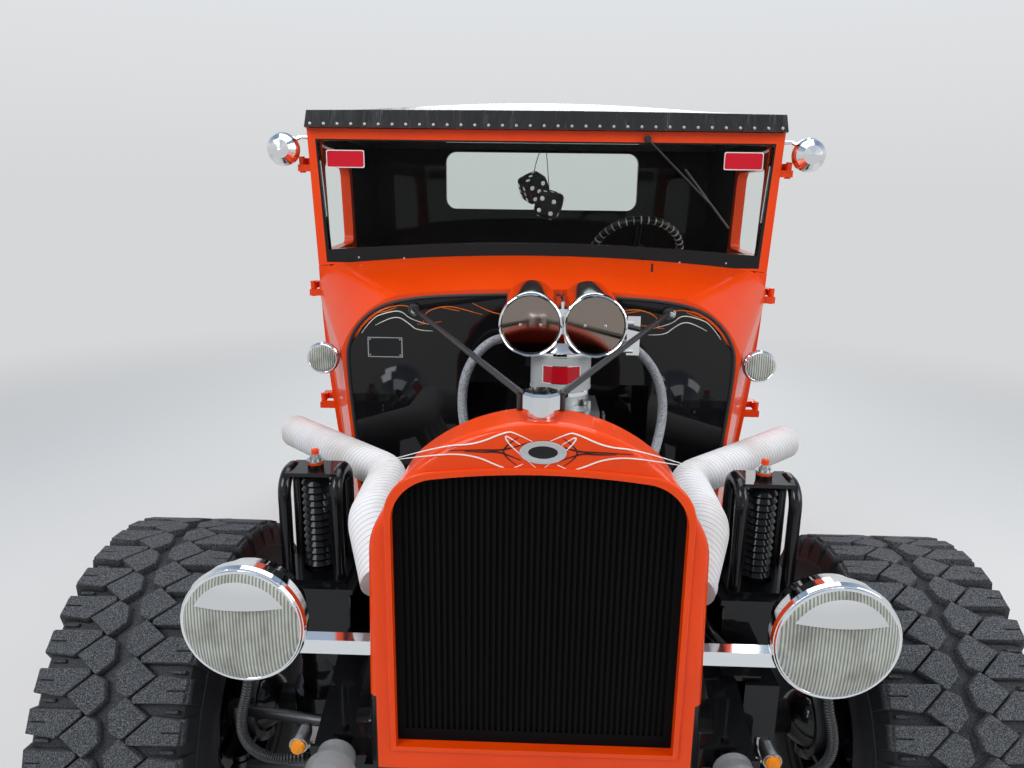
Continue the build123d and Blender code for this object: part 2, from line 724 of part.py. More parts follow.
# Steering box on the left rail, its shaft and the column up to the wheel.
COLUMN_LOW = (362, 215, 722)
COLUMN_BEND = (356, 245, 815)
COLUMN_HIGH = (303, 930, 1385)
with BuildPart() as steering_box:
    block((BOX_X - 33, BOX_X + 34), (BOX_Y - 42, BOX_Y + 42), (BOX_FOOT, RAIL_TOP))
    block((BOX_X - 75, BOX_X), (BOX_Y - 30, BOX_Y + 30), (RAIL_TOP + SEAT_GAP, RAIL_TOP + 12))
    bar(
        spot(BOX_X, BOX_Y, BOX_FOOT - 1), spot(BOX_X, BOX_Y, BOX_FOOT + 30), BOX_SHAFT + FIT_GAP,
        Mode.SUBTRACT,
    )
    pipe(
        [
            spot(BOX_X - 10, BOX_Y, 630), spot(366, -110, 690), spot(*COLUMN_LOW), spot(*COLUMN_BEND),
            spot(*COLUMN_HIGH),
        ],
        30, 11,
    )
keep(steering_box, "steering_column")


# Links that hold the axles: radius arms and the driveshafts.
with BuildPart() as radius_arms:
    for _, hand in SIDES:
        bar(
            spot(hand * 330, AXLE_TUBE_RADIUS + SEAT_GAP, TYRE_RADIUS), spot(hand * 330, 900, 470), 18
        )
        block(
            sorted((hand * 310, hand * (RAIL_INSIDE - SEAT_GAP))), (870, 910), (445, 600)
        )
        bar(
            spot(hand * 330, WHEEL_BASE - AXLE_TUBE_RADIUS - 4 - SEAT_GAP, TYRE_RADIUS),
            spot(hand * 330, 1700, 470), 18,
        )
        block(
            sorted((hand * 310, hand * (RAIL_INSIDE - SEAT_GAP))), (1680, 1720), (445, 600)
        )
keep(radius_arms, "radius_arms")


# Radiator: shell with a rounded arch, the core behind its opening, and the cap.
def shell_outline(inset, distance):
    """The shell's outline, drawn inward by inset: an arch on slightly splayed sides."""
    foot = SHELL_HALF_FOOT - inset
    shoulder = SHELL_HALF_SHOULDER - inset
    arch = ARCH_RADIUS - inset
    top = SHELL_TOP - inset
    mid_x = arch * sin(radians(45))
    mid_z = top - arch + arch * cos(radians(45))
    with BuildSketch(facing(distance)) as outline:
        with BuildLine():
            Line((-foot, SHELL_FOOT), (foot, SHELL_FOOT))
            Line((foot, SHELL_FOOT), (shoulder, SHOULDER_HEIGHT))
            Line((shoulder, SHOULDER_HEIGHT), (mid_x, mid_z))
            ThreePointArc((mid_x, mid_z), (0, top), (-mid_x, mid_z))
            Line((-mid_x, mid_z), (-shoulder, SHOULDER_HEIGHT))
            Line((-shoulder, SHOULDER_HEIGHT), (-foot, SHELL_FOOT))
        make_face()
        fillet(outline.vertices().filter_by(lambda v: v.Y > SHELL_FOOT + 5), 110)
    return outline.sketch


def opening_outline(inset, distance):
    """The opening's outline, drawn inward by inset: a low arch with round corners."""
    half = OPENING_HALF - inset
    foot = OPENING_FOOT + inset
    top = OPENING_TOP - inset
    spring_z = top - OPENING_RISE
    with BuildSketch(facing(distance)) as outline:
        with BuildLine():
            Line((-half, foot), (half, foot))
            Line((half, foot), (half, spring_z))
            ThreePointArc((half, spring_z), (0, top), (-half, spring_z))
            Line((-half, spring_z), (-half, foot))
        make_face()
        fillet(outline.vertices().filter_by(lambda v: v.Y > foot + 5), OPENING_CORNER)
    return outline.sketch


with BuildPart() as shell:
    extrude(shell_outline(0, SHELL_FACE + SHELL_DEPTH), amount=SHELL_DEPTH)
    front_edges = shell.faces().sort_by(Axis.Y)[0].edges()
    fillet(front_edges.filter_by(lambda e: e.center().Z > SHELL_FOOT + 5), 16)
    cavity = shell_outline(SHELL_WALL, SHELL_FACE + SHELL_DEPTH)
    extrude(cavity, amount=SHELL_DEPTH - SHELL_FRONT, mode=Mode.SUBTRACT)
    lip = extrude(opening_outline(-BEAD_WIDTH, SHELL_FACE), amount=BEAD_RISE)
    fillet(lip.faces().sort_by(Axis.Y)[0].edges(), BEAD_RISE - 1)
    mouth = opening_outline(0, SHELL_FACE + SHELL_DEPTH)
    extrude(mouth, amount=SHELL_DEPTH + 10, mode=Mode.SUBTRACT)
    tab_foot = RAIL_TOP + TAB_RISE + SEAT_GAP
    for _, hand in SIDES:
        block(
            sorted((hand * (SHELL_HALF_FOOT - 4), hand * (TAB_X + 15))), (TAB_Y - 16, TAB_Y + 16),
            (tab_foot, tab_foot + TAB_THICKNESS),
        )
        bar(
            spot(hand * TAB_X, TAB_Y, tab_foot), spot(hand * TAB_X, TAB_Y, tab_foot + TAB_THICKNESS + 9), 8
        )
keep(shell, "radiator_shell")

CORE_FRONT = SHELL_FACE + SHELL_FRONT + SEAT_GAP
with BuildPart() as core:
    extrude(opening_outline(-14, CORE_FRONT + CORE_DEPTH), amount=CORE_DEPTH)
    block((-240, 240), (CORE_FRONT, CORE_FRONT + CORE_DEPTH), (SHELL_FOOT, OPENING_FOOT))
    room = shell_outline(SHELL_WALL + SEAT_GAP, CORE_FRONT + CORE_DEPTH)
    extrude(room, amount=CORE_DEPTH, mode=Mode.INTERSECT)
    with BuildSketch(Plane.XY.offset(OPENING_FOOT + 22)) as gaps_between_fins:
        with Locations((0, back(CORE_FRONT))):
            with GridLocations(FIN_PITCH, 0, FIN_GAPS, 1):
                Rectangle(FIN_PITCH / 2, 2 * FIN_DEPTH)
    extrude(gaps_between_fins.sketch, amount=OPENING_TOP - OPENING_FOOT - 34, mode=Mode.SUBTRACT)
keep(core, "radiator_core")

CAP_Y = SHELL_FACE + SHELL_DEPTH / 2
with BuildPart() as cap:
    bar(spot(0, CAP_Y, SHELL_TOP + SEAT_GAP), spot(0, CAP_Y, SHELL_TOP + 16), 22)
    with BuildSketch(Plane.XY.offset(SHELL_TOP + 14)) as octagon:
        with Locations((0, back(CAP_Y))):
            RegularPolygon(31, 8, rotation=22.5)
    extrude(octagon.sketch, amount=26)
    chamfer(cap.faces().sort_by(Axis.Z)[-1].edges(), 4)
keep(cap, "radiator_cap")

with BuildPart() as stays:
    for _, hand in SIDES:
        bar(spot(hand * 34, SHELL_FACE + 100, 1262), spot(hand * 306, FIREWALL_Y - 8, 1300), 6)
        bar(
            spot(hand * 306, FIREWALL_Y - 12, 1300), spot(hand * 306, FIREWALL_Y - SEAT_GAP, 1300), 14
        )
        bar(spot(hand * 34, SHELL_FACE + 82, SHELL_TOP - 1), spot(hand * 34, SHELL_FACE + 82, 1266), 5)
        bar(spot(hand * 34, SHELL_FACE + 80, 1262), spot(hand * 34, SHELL_FACE + 104, 1262), 6)
keep(stays, "stay_rods")


# Lamp bar, headlamps, indicators and horns.
def shell_side(height):
    """The x of the shell's side at this height."""
    share = (height - SHELL_FOOT) / (SHOULDER_HEIGHT - SHELL_FOOT)
    return SHELL_HALF_FOOT + (SHELL_HALF_SHOULDER - SHELL_HALF_FOOT) * share


with BuildPart() as lamp_bar:
    bar_zs = (LAMP_BAR_HEIGHT - LAMP_BAR / 2, LAMP_BAR_HEIGHT + LAMP_BAR / 2)
    for _, hand in SIDES:
        block(
            sorted((hand * (shell_side(bar_zs[0]) + SEAT_GAP), hand * LAMP_BAR_END)),
            (LAMP_BAR_Y - LAMP_BAR / 2, LAMP_BAR_Y + LAMP_BAR / 2), bar_zs,
        )
keep(lamp_bar, "lamp_bar")

lamp_outline = (  # distance behind the lens plane, radius
    (4, 0), (4, LENS_RADIUS), (0, LENS_RADIUS), (0, LAMP_RIM - 2), (8, LAMP_RIM), (30, LAMP_RIM - 3),
    (60, LAMP_RIM - 13), (95, LAMP_RIM - 33), (122, LAMP_RIM - 60), (135, LAMP_RIM - 85), (138, 0),
)
# A chrome visor like an eyelid stands on each lamp's rim, over the top of its lens.
visor_crown = (VISOR_REACH**2 + (LAMP_RIM - 4)**2) / (2 * VISOR_REACH)
visor_y = LAMP_LENS + 1 - VISOR_REACH + visor_crown
rim_turn = asin((LAMP_RIM - 4) / visor_crown)
edge_turn = asin(VISOR_FOOT * 0.8 / visor_crown)
visor_arcs = []
for radius in (visor_crown, visor_crown + VISOR_SHEET):
    visor_arcs.append([
        (radius * sin(turn), visor_y - radius * cos(turn))
        for turn in (edge_turn, (edge_turn + rim_turn) / 2, rim_turn)
    ])
visors = {}
for _, hand in SIDES:
    with BuildPart() as visor:
        with BuildSketch(level_plane(hand * LAMP_X, LAMP_HEIGHT)) as visor_half:
            with BuildLine():
                under, over = visor_arcs
                ThreePointArc(*under)
                Line(under[2], over[2])
                ThreePointArc(*reversed(over))
                Line(over[0], under[0])
            make_face()
        revolve(visor_half.sketch, axis=Axis(spot(hand * LAMP_X, 0, LAMP_HEIGHT), (0, 1, 0)))
        block(
            (hand * LAMP_X - 200, hand * LAMP_X + 200), (LAMP_LENS - 60, LAMP_LENS + 60),
            (LAMP_HEIGHT - 200, LAMP_HEIGHT + VISOR_FOOT), Mode.SUBTRACT,
        )
    visors[hand] = visor.part

with BuildPart() as headlamps:
    for _, hand in SIDES:
        turned(
            [(radius, LAMP_LENS + depth) for depth, radius in lamp_outline],
            level_plane(hand * LAMP_X, LAMP_HEIGHT),
            Axis(spot(hand * LAMP_X, 0, LAMP_HEIGHT), (0, 1, 0)),
        )
        add(visors[hand])
        cord_stub([(hand * x, y, z) for x, y, z in CONDUIT_ROUTE], 30, CONDUIT_RADIUS + 2)
        block(
            sorted((hand * (LAMP_BAR_END + SEAT_GAP), hand * (LAMP_X - 14))),
            (LAMP_BAR_Y - LAMP_BAR / 2, LAMP_BAR_Y + LAMP_BAR / 2),
            (LAMP_BAR_HEIGHT - LAMP_BAR / 2, LAMP_BAR_HEIGHT + LAMP_BAR / 2),
        )
keep(headlamps, "headlamps")

with BuildPart() as lenses:
    for _, hand in SIDES:
        lens_back = back(LAMP_LENS + 4 - SEAT_GAP)
        lens_edge = LENS_RADIUS - SEAT_GAP
        crown = (lens_edge**2 + LENS_DOME**2) / (2 * LENS_DOME)
        half_turn = asin(lens_edge / crown) / 2
        where = Plane(origin=(hand * LAMP_X, 0, LAMP_HEIGHT), x_dir=(1, 0, 0), z_dir=(0, 0, 1))
        with BuildSketch(where) as lens_half:
            with BuildLine():
                Line((0, lens_back), (lens_edge, lens_back))
                Line((lens_edge, lens_back), (lens_edge, lens_back - 5))
                ThreePointArc(
                    (lens_edge, lens_back - 5),
                    (crown * sin(half_turn), lens_back - 5 - LENS_DOME + crown * (1 - cos(half_turn))),
                    (0, lens_back - 5 - LENS_DOME),
                )
                Line((0, lens_back - 5 - LENS_DOME), (0, lens_back))
            make_face()
        revolve(lens_half.sketch, axis=Axis((hand * LAMP_X, 0, LAMP_HEIGHT), (0, 1, 0)))
keep(lenses, "headlamp_lenses")

with BuildPart() as conduits:
    for _, hand in SIDES:
        hose([(hand * x, y, z) for x, y, z in CONDUIT_ROUTE], CONDUIT_RADIUS)
keep(conduits, "lamp_conduits")

with BuildPart() as indicators:
    for _, hand in SIDES:
        where = spot(hand * 404, 0, 650)
        turned(
            [(0, -448), (10, -446), (13, -440), (14, -436), (16, -436), (16, -428), (14, -400), (9, -384), (0, -378)],
            level_plane(where[0], where[2]), Axis(where, (0, 1, 0)),
        )
        bar(spot(hand * 404, -405, 628), spot(hand * 404, -405, 650), 5)
        bar(spot(hand * (rail_side(-405) + SEAT_GAP + 0.5), -405, 628), spot(hand * 409, -405, 628), 5)
keep(indicators, "indicators")

with BuildPart() as horns:
    for _, hand in SIDES:
        where = spot(hand * 341, 0, 624)
        turned(
            [(0, -OVERHANG), (34, -OVERHANG), (36, -500), (42, -496), (44, -480), (44, -466), (38, -460),
             (34, -440), (34, RAIL_NOSE - 6 - SEAT_GAP), (0, RAIL_NOSE - 6 - SEAT_GAP)],
            level_plane(where[0], where[2]), Axis(where, (0, 1, 0)),
        )
keep(horns, "horns")


# Two braided water hoses loop from the firewall to the intake.
HOSE_RADIUS = 11
SPOUT_LENGTH = 38
HOSE_LEFT = (  # x, distance behind the front axle, height
    (-66, 275, 1238), (-99, 246, 1240), (-131, 218, 1226), (-157, 195, 1197), (-174, 180, 1158),
    (-180, 173, 1111), (-176, 160, 1063), (-164, 134, 1022), (-147, 97, 992), (-126, 50, 973),
    (-104, 3, 961), (-81, -44, 953), (-59, -91, 950),
)
HOSE_RIGHT = (
    (158, 275, 1238), (197, 246, 1236), (233, 219, 1219), (262, 196, 1187), (281, 182, 1145),
    (288, 174, 1097), (283, 160, 1051), (270, 134, 1010), (252, 98, 981), (230, 54, 963),
    (206, 8, 953), (180, -46, 948), (152, -98, 948),
)


# Engine: block with its sump and gearbox, heads, covers, intake, carburettor and scoop.
def bank_point(hand, out, across_bank):
    """A point of one cylinder bank: out along it from the crank, and across it outward."""
    lean = radians(45)
    x = ENGINE_X + hand * (out * sin(lean) + across_bank * cos(lean))
    z = CRANK_HEIGHT + out * cos(lean) - across_bank * sin(lean)
    return (x, z)


def bank_block(hand, outs, half, ys, middle=0):
    """A long block on one bank, between two distances from the crank."""
    low, high = middle - half, middle + half
    with BuildSketch(facing(ys[1])) as section:
        with BuildLine():
            Polyline(
                bank_point(hand, outs[0], low), bank_point(hand, outs[0], high),
                bank_point(hand, outs[1], high), bank_point(hand, outs[1], low), close=True,
            )
        make_face()
    extrude(section.sketch, amount=ys[1] - ys[0])


PULLEY_FRONT = ENGINE_FRONT - 55
PULLEYS = (  # across from the crank, height, radius: crank, water pump, alternator
    (0, CRANK_HEIGHT, 78), (0, 790, 62), (165, 780, 36),
)
ALTERNATOR_RADIUS = 56
FAN_BLADES = 6
FAN_RADIUS = 158
with BuildPart() as engine:
    block((ENGINE_X - 105, ENGINE_X + 105), (ENGINE_FRONT, ENGINE_REAR), (585, CRANK_HEIGHT + 60))
    for _, hand in SIDES:
        bank_block(hand, (0, DECK_HEIGHT), 72, (ENGINE_FRONT, ENGINE_REAR))
        block(
            sorted((ENGINE_X + hand * 90, hand * (RAIL_INSIDE - SEAT_GAP))), (150, 190), (600, 630)
        )
    block((ENGINE_X - 90, ENGINE_X + 90), (130, ENGINE_REAR), (470, 590))
    bar(
        spot(ENGINE_X, ENGINE_REAR, CRANK_HEIGHT), spot(ENGINE_X, 400, CRANK_HEIGHT), 150,
        end_radius=90,
    )
    bar(spot(ENGINE_X, 398, CRANK_HEIGHT), spot(ENGINE_X, 980, CRANK_HEIGHT), 84)
    block((-210, ENGINE_X + 60), (860, 980), (490, 620))
    for pulley_x, pulley_z, pulley_r in PULLEYS:
        hub = spot(ENGINE_X + pulley_x, 0, pulley_z)
        groove = pulley_r - 12
        turned(
            [(0, PULLEY_FRONT), (pulley_r - 3, PULLEY_FRONT), (pulley_r, PULLEY_FRONT + 4),
             (groove, PULLEY_FRONT + 11), (pulley_r, PULLEY_FRONT + 18), (pulley_r - 3, PULLEY_FRONT + 22),
             (30, PULLEY_FRONT + 22), (30, ENGINE_FRONT + 2), (0, ENGINE_FRONT + 2)],
            level_plane(hub[0], hub[2]), Axis(hub, (0, 1, 0)),
        )
    alternator = PULLEYS[2]
    bar(
        spot(ENGINE_X + alternator[0], PULLEY_FRONT + 26, alternator[1]),
        spot(ENGINE_X + alternator[0], ENGINE_FRONT + 1, alternator[1]), ALTERNATOR_RADIUS,
    )
    for blade in range(FAN_BLADES):
        turn = radians(360 / FAN_BLADES * blade)
        root = (ENGINE_X + 30 * sin(turn), PULLEYS[1][1] + 30 * cos(turn))
        tip = (ENGINE_X + FAN_RADIUS * sin(turn), PULLEYS[1][1] + FAN_RADIUS * cos(turn))
        middle = spot((root[0] + tip[0]) / 2, PULLEY_FRONT - 8, (root[1] + tip[1]) / 2)
        blade_plane = Plane(origin=middle, x_dir=(cos(turn), 0.5, -sin(turn)), z_dir=(sin(turn), 0, cos(turn)))
        with BuildSketch(blade_plane.offset(-(FAN_RADIUS - 30) / 2)) as blade_section:
            Rectangle(48, 3)
        extrude(blade_section.sketch, amount=FAN_RADIUS - 30)
    bar(spot(ENGINE_X, PULLEY_FRONT - 20, PULLEYS[1][1]), spot(ENGINE_X, PULLEY_FRONT + 1, PULLEYS[1][1]), 38)
keep(engine, "engine_block")

with BuildPart() as heads:
    for _, hand in SIDES:
        head_out = DECK_HEIGHT + HEAD_THICKNESS
        bank_block(hand, (DECK_HEIGHT, head_out), HEAD_HALF, (ENGINE_FRONT + 8, ENGINE_REAR - 8))
        bank_block(
            hand, (head_out, head_out + COVER_THICKNESS), COVER_HALF, (ENGINE_FRONT + 20, ENGINE_REAR - 20)
        )
        rib_top = head_out + COVER_THICKNESS + COVER_RIB
        for across in COVER_RIBS:
            bank_block(
                hand, (head_out + 2, rib_top), COVER_RIB, (ENGINE_FRONT + 45, ENGINE_REAR - 45), across
            )
keep(heads, "cylinder_heads")

with BuildPart() as intake:
    outs = (DECK_HEIGHT + 3, DECK_HEIGHT + HEAD_THICKNESS - 8)
    flange = -HEAD_HALF - SEAT_GAP
    with BuildSketch(facing(ENGINE_REAR - 40)) as valley:
        with BuildLine():
            Polyline(
                bank_point(-1, outs[0], flange), bank_point(1, outs[0], flange),
                bank_point(1, outs[1], flange), bank_point(-1, outs[1], flange), close=True,
            )
        make_face()
    extrude(valley.sketch, amount=ENGINE_REAR - ENGINE_FRONT - 70)
    valley_top = bank_point(1, outs[1], flange)[1]
    with BuildSketch(Plane.XY.offset(valley_top - 1)) as plenum_foot:
        with Locations((ENGINE_X, back(CARB_Y))):
            Rectangle(190, 300)
    with BuildSketch(Plane.XY.offset(CARB_BASE - 20)) as plenum_top:
        with Locations((ENGINE_X, back(CARB_Y))):
            Rectangle(140, 170)
    loft([plenum_foot.sketch.face(), plenum_top.sketch.face()])
    block((ENGINE_X - 75, ENGINE_X + 75), (CARB_Y - 88, CARB_Y + 88), (CARB_BASE - 21, CARB_BASE))
    for route in (HOSE_LEFT, HOSE_RIGHT):
        post = cord_stub(list(reversed(route)), SPOUT_LENGTH, HOSE_RADIUS + 2)
        bar((post.X, post.Y, valley_top - 1), (post.X, post.Y, post.Z + HOSE_RADIUS + 4), HOSE_RADIUS + 5)
keep(intake, "intake_manifold")

for hose_name, route in (("hose_left", HOSE_LEFT), ("hose_right", HOSE_RIGHT)):
    with BuildPart() as water_hose:
        hose(route, HOSE_RADIUS)
    keep(water_hose, hose_name)

with BuildPart() as carburettor:
    block((ENGINE_X - 70, ENGINE_X + 70), (CARB_Y - 80, CARB_Y + 80), (CARB_BASE + SEAT_GAP, CARB_BASE + 22))
    block((ENGINE_X - 82, ENGINE_X + 82), (CARB_Y - 70, CARB_Y + 70), (CARB_BASE + 20, CARB_TOP - 30))
    bar(spot(ENGINE_X, CARB_Y, CARB_TOP - 31), spot(ENGINE_X, CARB_Y, CARB_TOP), 62)
    for bowl_y in (CARB_Y - 78, CARB_Y + 78):
        with BuildSketch(Plane.XY.offset(CARB_BASE + 32)) as bowl:
            with Locations((ENGINE_X, back(bowl_y))):
                RectangleRounded(118, 44, 12)
        extrude(bowl.sketch, amount=BOWL_HEIGHT)
    for side in (-1, 1):
        lever_x = ENGINE_X + side * 82
        bar(spot(lever_x - side * 16, CARB_Y, CARB_BASE + 14), spot(lever_x + side * 18, CARB_Y, CARB_BASE + 14), 5)
        block(
            sorted((lever_x + side * 12, lever_x + side * 16)), (CARB_Y - 24, CARB_Y + 8),
            (CARB_BASE + 8, CARB_BASE + 52),
        )
        bar(spot(lever_x - side * 26, CARB_Y - 46, CARB_TOP - 31), spot(lever_x - side * 26, CARB_Y - 46, CARB_TOP - 10), 9)
keep(carburettor, "carburettor")

with BuildPart() as scoop:
    neck_foot = CARB_TOP + SEAT_GAP
    turned(
        [(0, neck_foot), (NECK_RADIUS, neck_foot), (NECK_RADIUS, neck_foot + 8), (NECK_RADIUS - 4, neck_foot + 12),
         (NECK_RADIUS - 4, NECK_TOP - 12), (NECK_RADIUS, NECK_TOP - 8), (NECK_RADIUS, NECK_TOP),
         (NECK_RADIUS - 12, NECK_TOP + 4), (NECK_RADIUS - 12, BARREL_HEIGHT - 20), (0, BARREL_HEIGHT - 20)],
        facing(CARB_Y, 0, ENGINE_X), Axis(spot(ENGINE_X, CARB_Y, 0), (0, 0, 1)),
    )
    for spread in (-BARREL_SPREAD, BARREL_SPREAD):
        bar(
            spot(ENGINE_X + spread, BARREL_FRONT, BARREL_HEIGHT),
            spot(ENGINE_X + spread, BARREL_FRONT + BARREL_LENGTH, BARREL_HEIGHT), BARREL_RADIUS,
        )
    block(
        (ENGINE_X - 40, ENGINE_X + 40), (BARREL_FRONT, BARREL_FRONT + BARREL_LENGTH),
        (BARREL_HEIGHT - 60, BARREL_HEIGHT + 30),
    )
    for spread in (-BARREL_SPREAD, BARREL_SPREAD):
        bar(
            spot(ENGINE_X + spread, BARREL_FRONT - 1, BARREL_HEIGHT),
            spot(ENGINE_X + spread, BARREL_FRONT + 14, BARREL_HEIGHT), BARREL_RADIUS - 5, Mode.SUBTRACT,
        )
        bar(
            spot(ENGINE_X + spread, BARREL_FRONT + 5, BARREL_HEIGHT),
            spot(ENGINE_X + spread, BARREL_FRONT + 7, BARREL_HEIGHT), BARREL_RADIUS - 6,
        )
    bar(
        spot(ENGINE_X - BARREL_SPREAD - 62, BARREL_FRONT + 9, BARREL_HEIGHT),
        spot(ENGINE_X + BARREL_SPREAD + 62, BARREL_FRONT + 9, BARREL_HEIGHT), 4,
    )
    for rib_x in (-12, 0, 12):
        block(
            (ENGINE_X + rib_x - 3, ENGINE_X + rib_x + 3), (BARREL_FRONT + 12, BARREL_FRONT + BARREL_LENGTH - 6),
            (BARREL_HEIGHT + 20, BARREL_HEIGHT + 44 - abs(rib_x)),
        )
    link_x = ENGINE_X + LINK_X
    link_foot = BARREL_HEIGHT - LINK_DROP
    block((link_x - 14, link_x + 14), (LINK_Y, LINK_Y + 4), (link_foot, BARREL_HEIGHT + 8))
    for step in range(3):
        hole = spot(link_x, LINK_Y - 1, link_foot + 22 + 20 * step)
        bar(hole, tuple(Vector(*hole) + Vector(0, -6, 0)), 6, Mode.SUBTRACT)
    bar(spot(link_x - 36, LINK_Y + 2, BARREL_HEIGHT - 8), spot(link_x, LINK_Y + 2, BARREL_HEIGHT - 8), 5)
    bar(spot(ENGINE_X + 48, LINK_Y + 2, link_foot + 8), spot(link_x, LINK_Y + 2, link_foot + 8), 4)
keep(scoop, "air_scoop")

# Each bank's four pipes rise into one wrapped tube that bends outward behind the tower.
HEADER_RADIUS = 43
HEADER_NOSE = (276, -300, 892)
HEADER_FRONT = (330, -165, 950)
HEADER_BEND = (335, 78, 955)
HEADER_TIP = (655, 420, 940)
PRIMARY_RADIUS = 18
PRIMARY_KNEE = (307, 800)  # out from the engine's middle, height
PORT_STUB = 30
PORTS = (-130, -55, 20, 95)  # distances behind the front axle
with BuildPart() as headers:
    for _, hand in SIDES:
        nose = spot(hand * HEADER_NOSE[0], *HEADER_NOSE[1:])
        front = spot(hand * HEADER_FRONT[0], *HEADER_FRONT[1:])
        elbow = spot(hand * HEADER_BEND[0], *HEADER_BEND[1:])
        tip = spot(hand * HEADER_TIP[0], *HEADER_TIP[1:])
        pipe([nose, front, elbow, tip], 110, HEADER_RADIUS)
        port = bank_point(hand, DECK_HEIGHT + HEAD_THICKNESS / 2, HEAD_HALF + SEAT_GAP)
        stub = bank_point(hand, DECK_HEIGHT + HEAD_THICKNESS / 2, HEAD_HALF + PORT_STUB)
        for port_y in PORTS:
            pipe(
                [
                    spot(port[0], port_y, port[1]), spot(stub[0], port_y, stub[1]),
                    spot(ENGINE_X + hand * PRIMARY_KNEE[0], port_y, PRIMARY_KNEE[1]),
                    spot(hand * HEADER_FRONT[0], port_y, HEADER_FRONT[2] - 20),
                ],
                20, PRIMARY_RADIUS,
            )
keep(headers, "headers")

SHAFT_RUNS = (  # x, front end distance and height, rear end distance and height, radius
    (DIFF_X, 172, TYRE_RADIUS + 15, 860, 545, 24),
    (0, 980, 560, WHEEL_BASE - 190, TYRE_RADIUS + 25, 27),
)
YOKE = 30
with BuildPart() as driveshafts:
    for shaft_x, front, front_z, rear, rear_z, shaft_r in SHAFT_RUNS:
        near = spot(shaft_x, front + YOKE, front_z)
        far = spot(shaft_x, rear - YOKE, rear_z)
        bar(spot(shaft_x, front + SEAT_GAP, front_z), near, shaft_r + 8)
        bar(near, far, shaft_r)
        bar(far, spot(shaft_x, rear - SEAT_GAP, rear_z), shaft_r + 8)
keep(driveshafts, "driveshafts")

with BuildPart() as tank:
    block((-280, 280), (TANK_FRONT, TANK_REAR), (TANK_FOOT + SEAT_GAP, BED_FLOOR - 8))
    fillet(tank.edges().filter_by(Axis.X), 30)
keep(tank, "fuel_tank")


# Cab: firewall, cowl, body, doors, roof, windscreen and rear glass.
BODY_SECTIONS = (  # distance behind the front axle, half width at foot, waist and eaves
    (SCREEN_Y, 540, 610, 625),
    (POST_Y, 612, 682, 695),
    (CAB_REAR, 600, 672, 685),
)
WAIST = 1300


def body_face(distance, foot, waist, eaves, inset, foot_z, top_z):
    with BuildSketch(facing(distance)) as section:
        with BuildLine():
            Line((inset - foot, foot_z), (foot - inset, foot_z))
            ThreePointArc(
                (foot - inset, foot_z), ((foot + waist) / 2 + 12 - inset, (foot_z + WAIST) / 2),
                (waist - inset, WAIST),
            )
            Line((waist - inset, WAIST), (eaves - inset, top_z))
            Line((eaves - inset, top_z), (inset - eaves, top_z))
            Line((inset - eaves, top_z), (inset - waist, WAIST))
            ThreePointArc(
                (inset - waist, WAIST), (inset - (foot + waist) / 2 - 12, (foot_z + WAIST) / 2),
                (inset - foot, foot_z),
            )
        make_face()
    return section.sketch.face()


with BuildPart() as body_shell:
    loft([body_face(*row, 0, CAB_FOOT, CAB_TOP) for row in BODY_SECTIONS])
    rear_edges = body_shell.faces().sort_by(Axis.Y)[-1].edges().filter_by(lambda e: abs(e.center().X) > 400)
    fillet(rear_edges, 45)
    inner = []
    for distance, foot, waist, eaves in BODY_SECTIONS:
        distance = min(distance, CAB_REAR - CAB_WALL)
        inner.append(body_face(distance, foot, waist, eaves, CAB_WALL, FLOOR_HEIGHT, CAB_TOP + 10))
    loft(inner, mode=Mode.SUBTRACT)
    block((-800, 800), (SCREEN_Y - 10, SCREEN_Y + 0.01), (600, 1800), Mode.SUBTRACT)

with BuildPart() as door_cutter:
    with BuildSketch(Plane.YZ) as door_view:
        with Locations((back((DOOR_FRONT + DOOR_REAR) / 2), (DOOR_FOOT + DOOR_TOP) / 2)):
            Rectangle(
                DOOR_REAR - DOOR_FRONT + 2 * DOOR_GAP, DOOR_TOP - DOOR_FOOT + 2 * DOOR_GAP
            )
    extrude(amount=900, both=True)

def screen_outline(half_foot, foot, crown, half_head, head, distance):
    """The windscreen's shape: an arched foot, straight leaning sides and a straight head."""
    with BuildSketch(facing(distance)) as outline:
        with BuildLine():
            ThreePointArc((-half_foot, foot), (0, crown), (half_foot, foot))
            Line((half_foot, foot), (half_head, head))
            Line((half_head, head), (-half_head, head))
            Line((-half_head, head), (-half_foot, foot))
        make_face()
    return outline.sketch


# The hinge axis leans with the body side; each side has three hinges on it.
HINGE_HEIGHTS = (983, 1308, 1642)
HINGE_FOOT = (622, 588, 983)
HINGE_HEAD = (651, 588, 1642)
HINGE_RADIUS = 8
HINGE_HALF = 21
LEAF_REACH = 40


def hinge_x(height):
    """The x of the hinge axis at this height."""
    share = (height - HINGE_FOOT[2]) / (HINGE_HEAD[2] - HINGE_FOOT[2])
    return HINGE_FOOT[0] + share * (HINGE_HEAD[0] - HINGE_FOOT[0])


def half_hinge(hand, height, low, high, root):
    """Half a hinge: its barrel and a leaf that reaches into the panel over the root range."""
    bar(
        spot(hand * hinge_x(height + low), HINGE_FOOT[1], height + low),
        spot(hand * hinge_x(height + high), HINGE_FOOT[1], height + high), HINGE_RADIUS,
    )
    x = hinge_x(height)
    leaf_z = sorted((height + low * 0.85, height + high * 0.85))
    block(
        sorted((hand * (x - HINGE_RADIUS), hand * (x + HINGE_RADIUS - 2))),
        sorted((HINGE_FOOT[1], root[1])), leaf_z,
    )
    block(sorted((hand * (x - LEAF_REACH), hand * (x + HINGE_RADIUS - 2))), root, leaf_z)


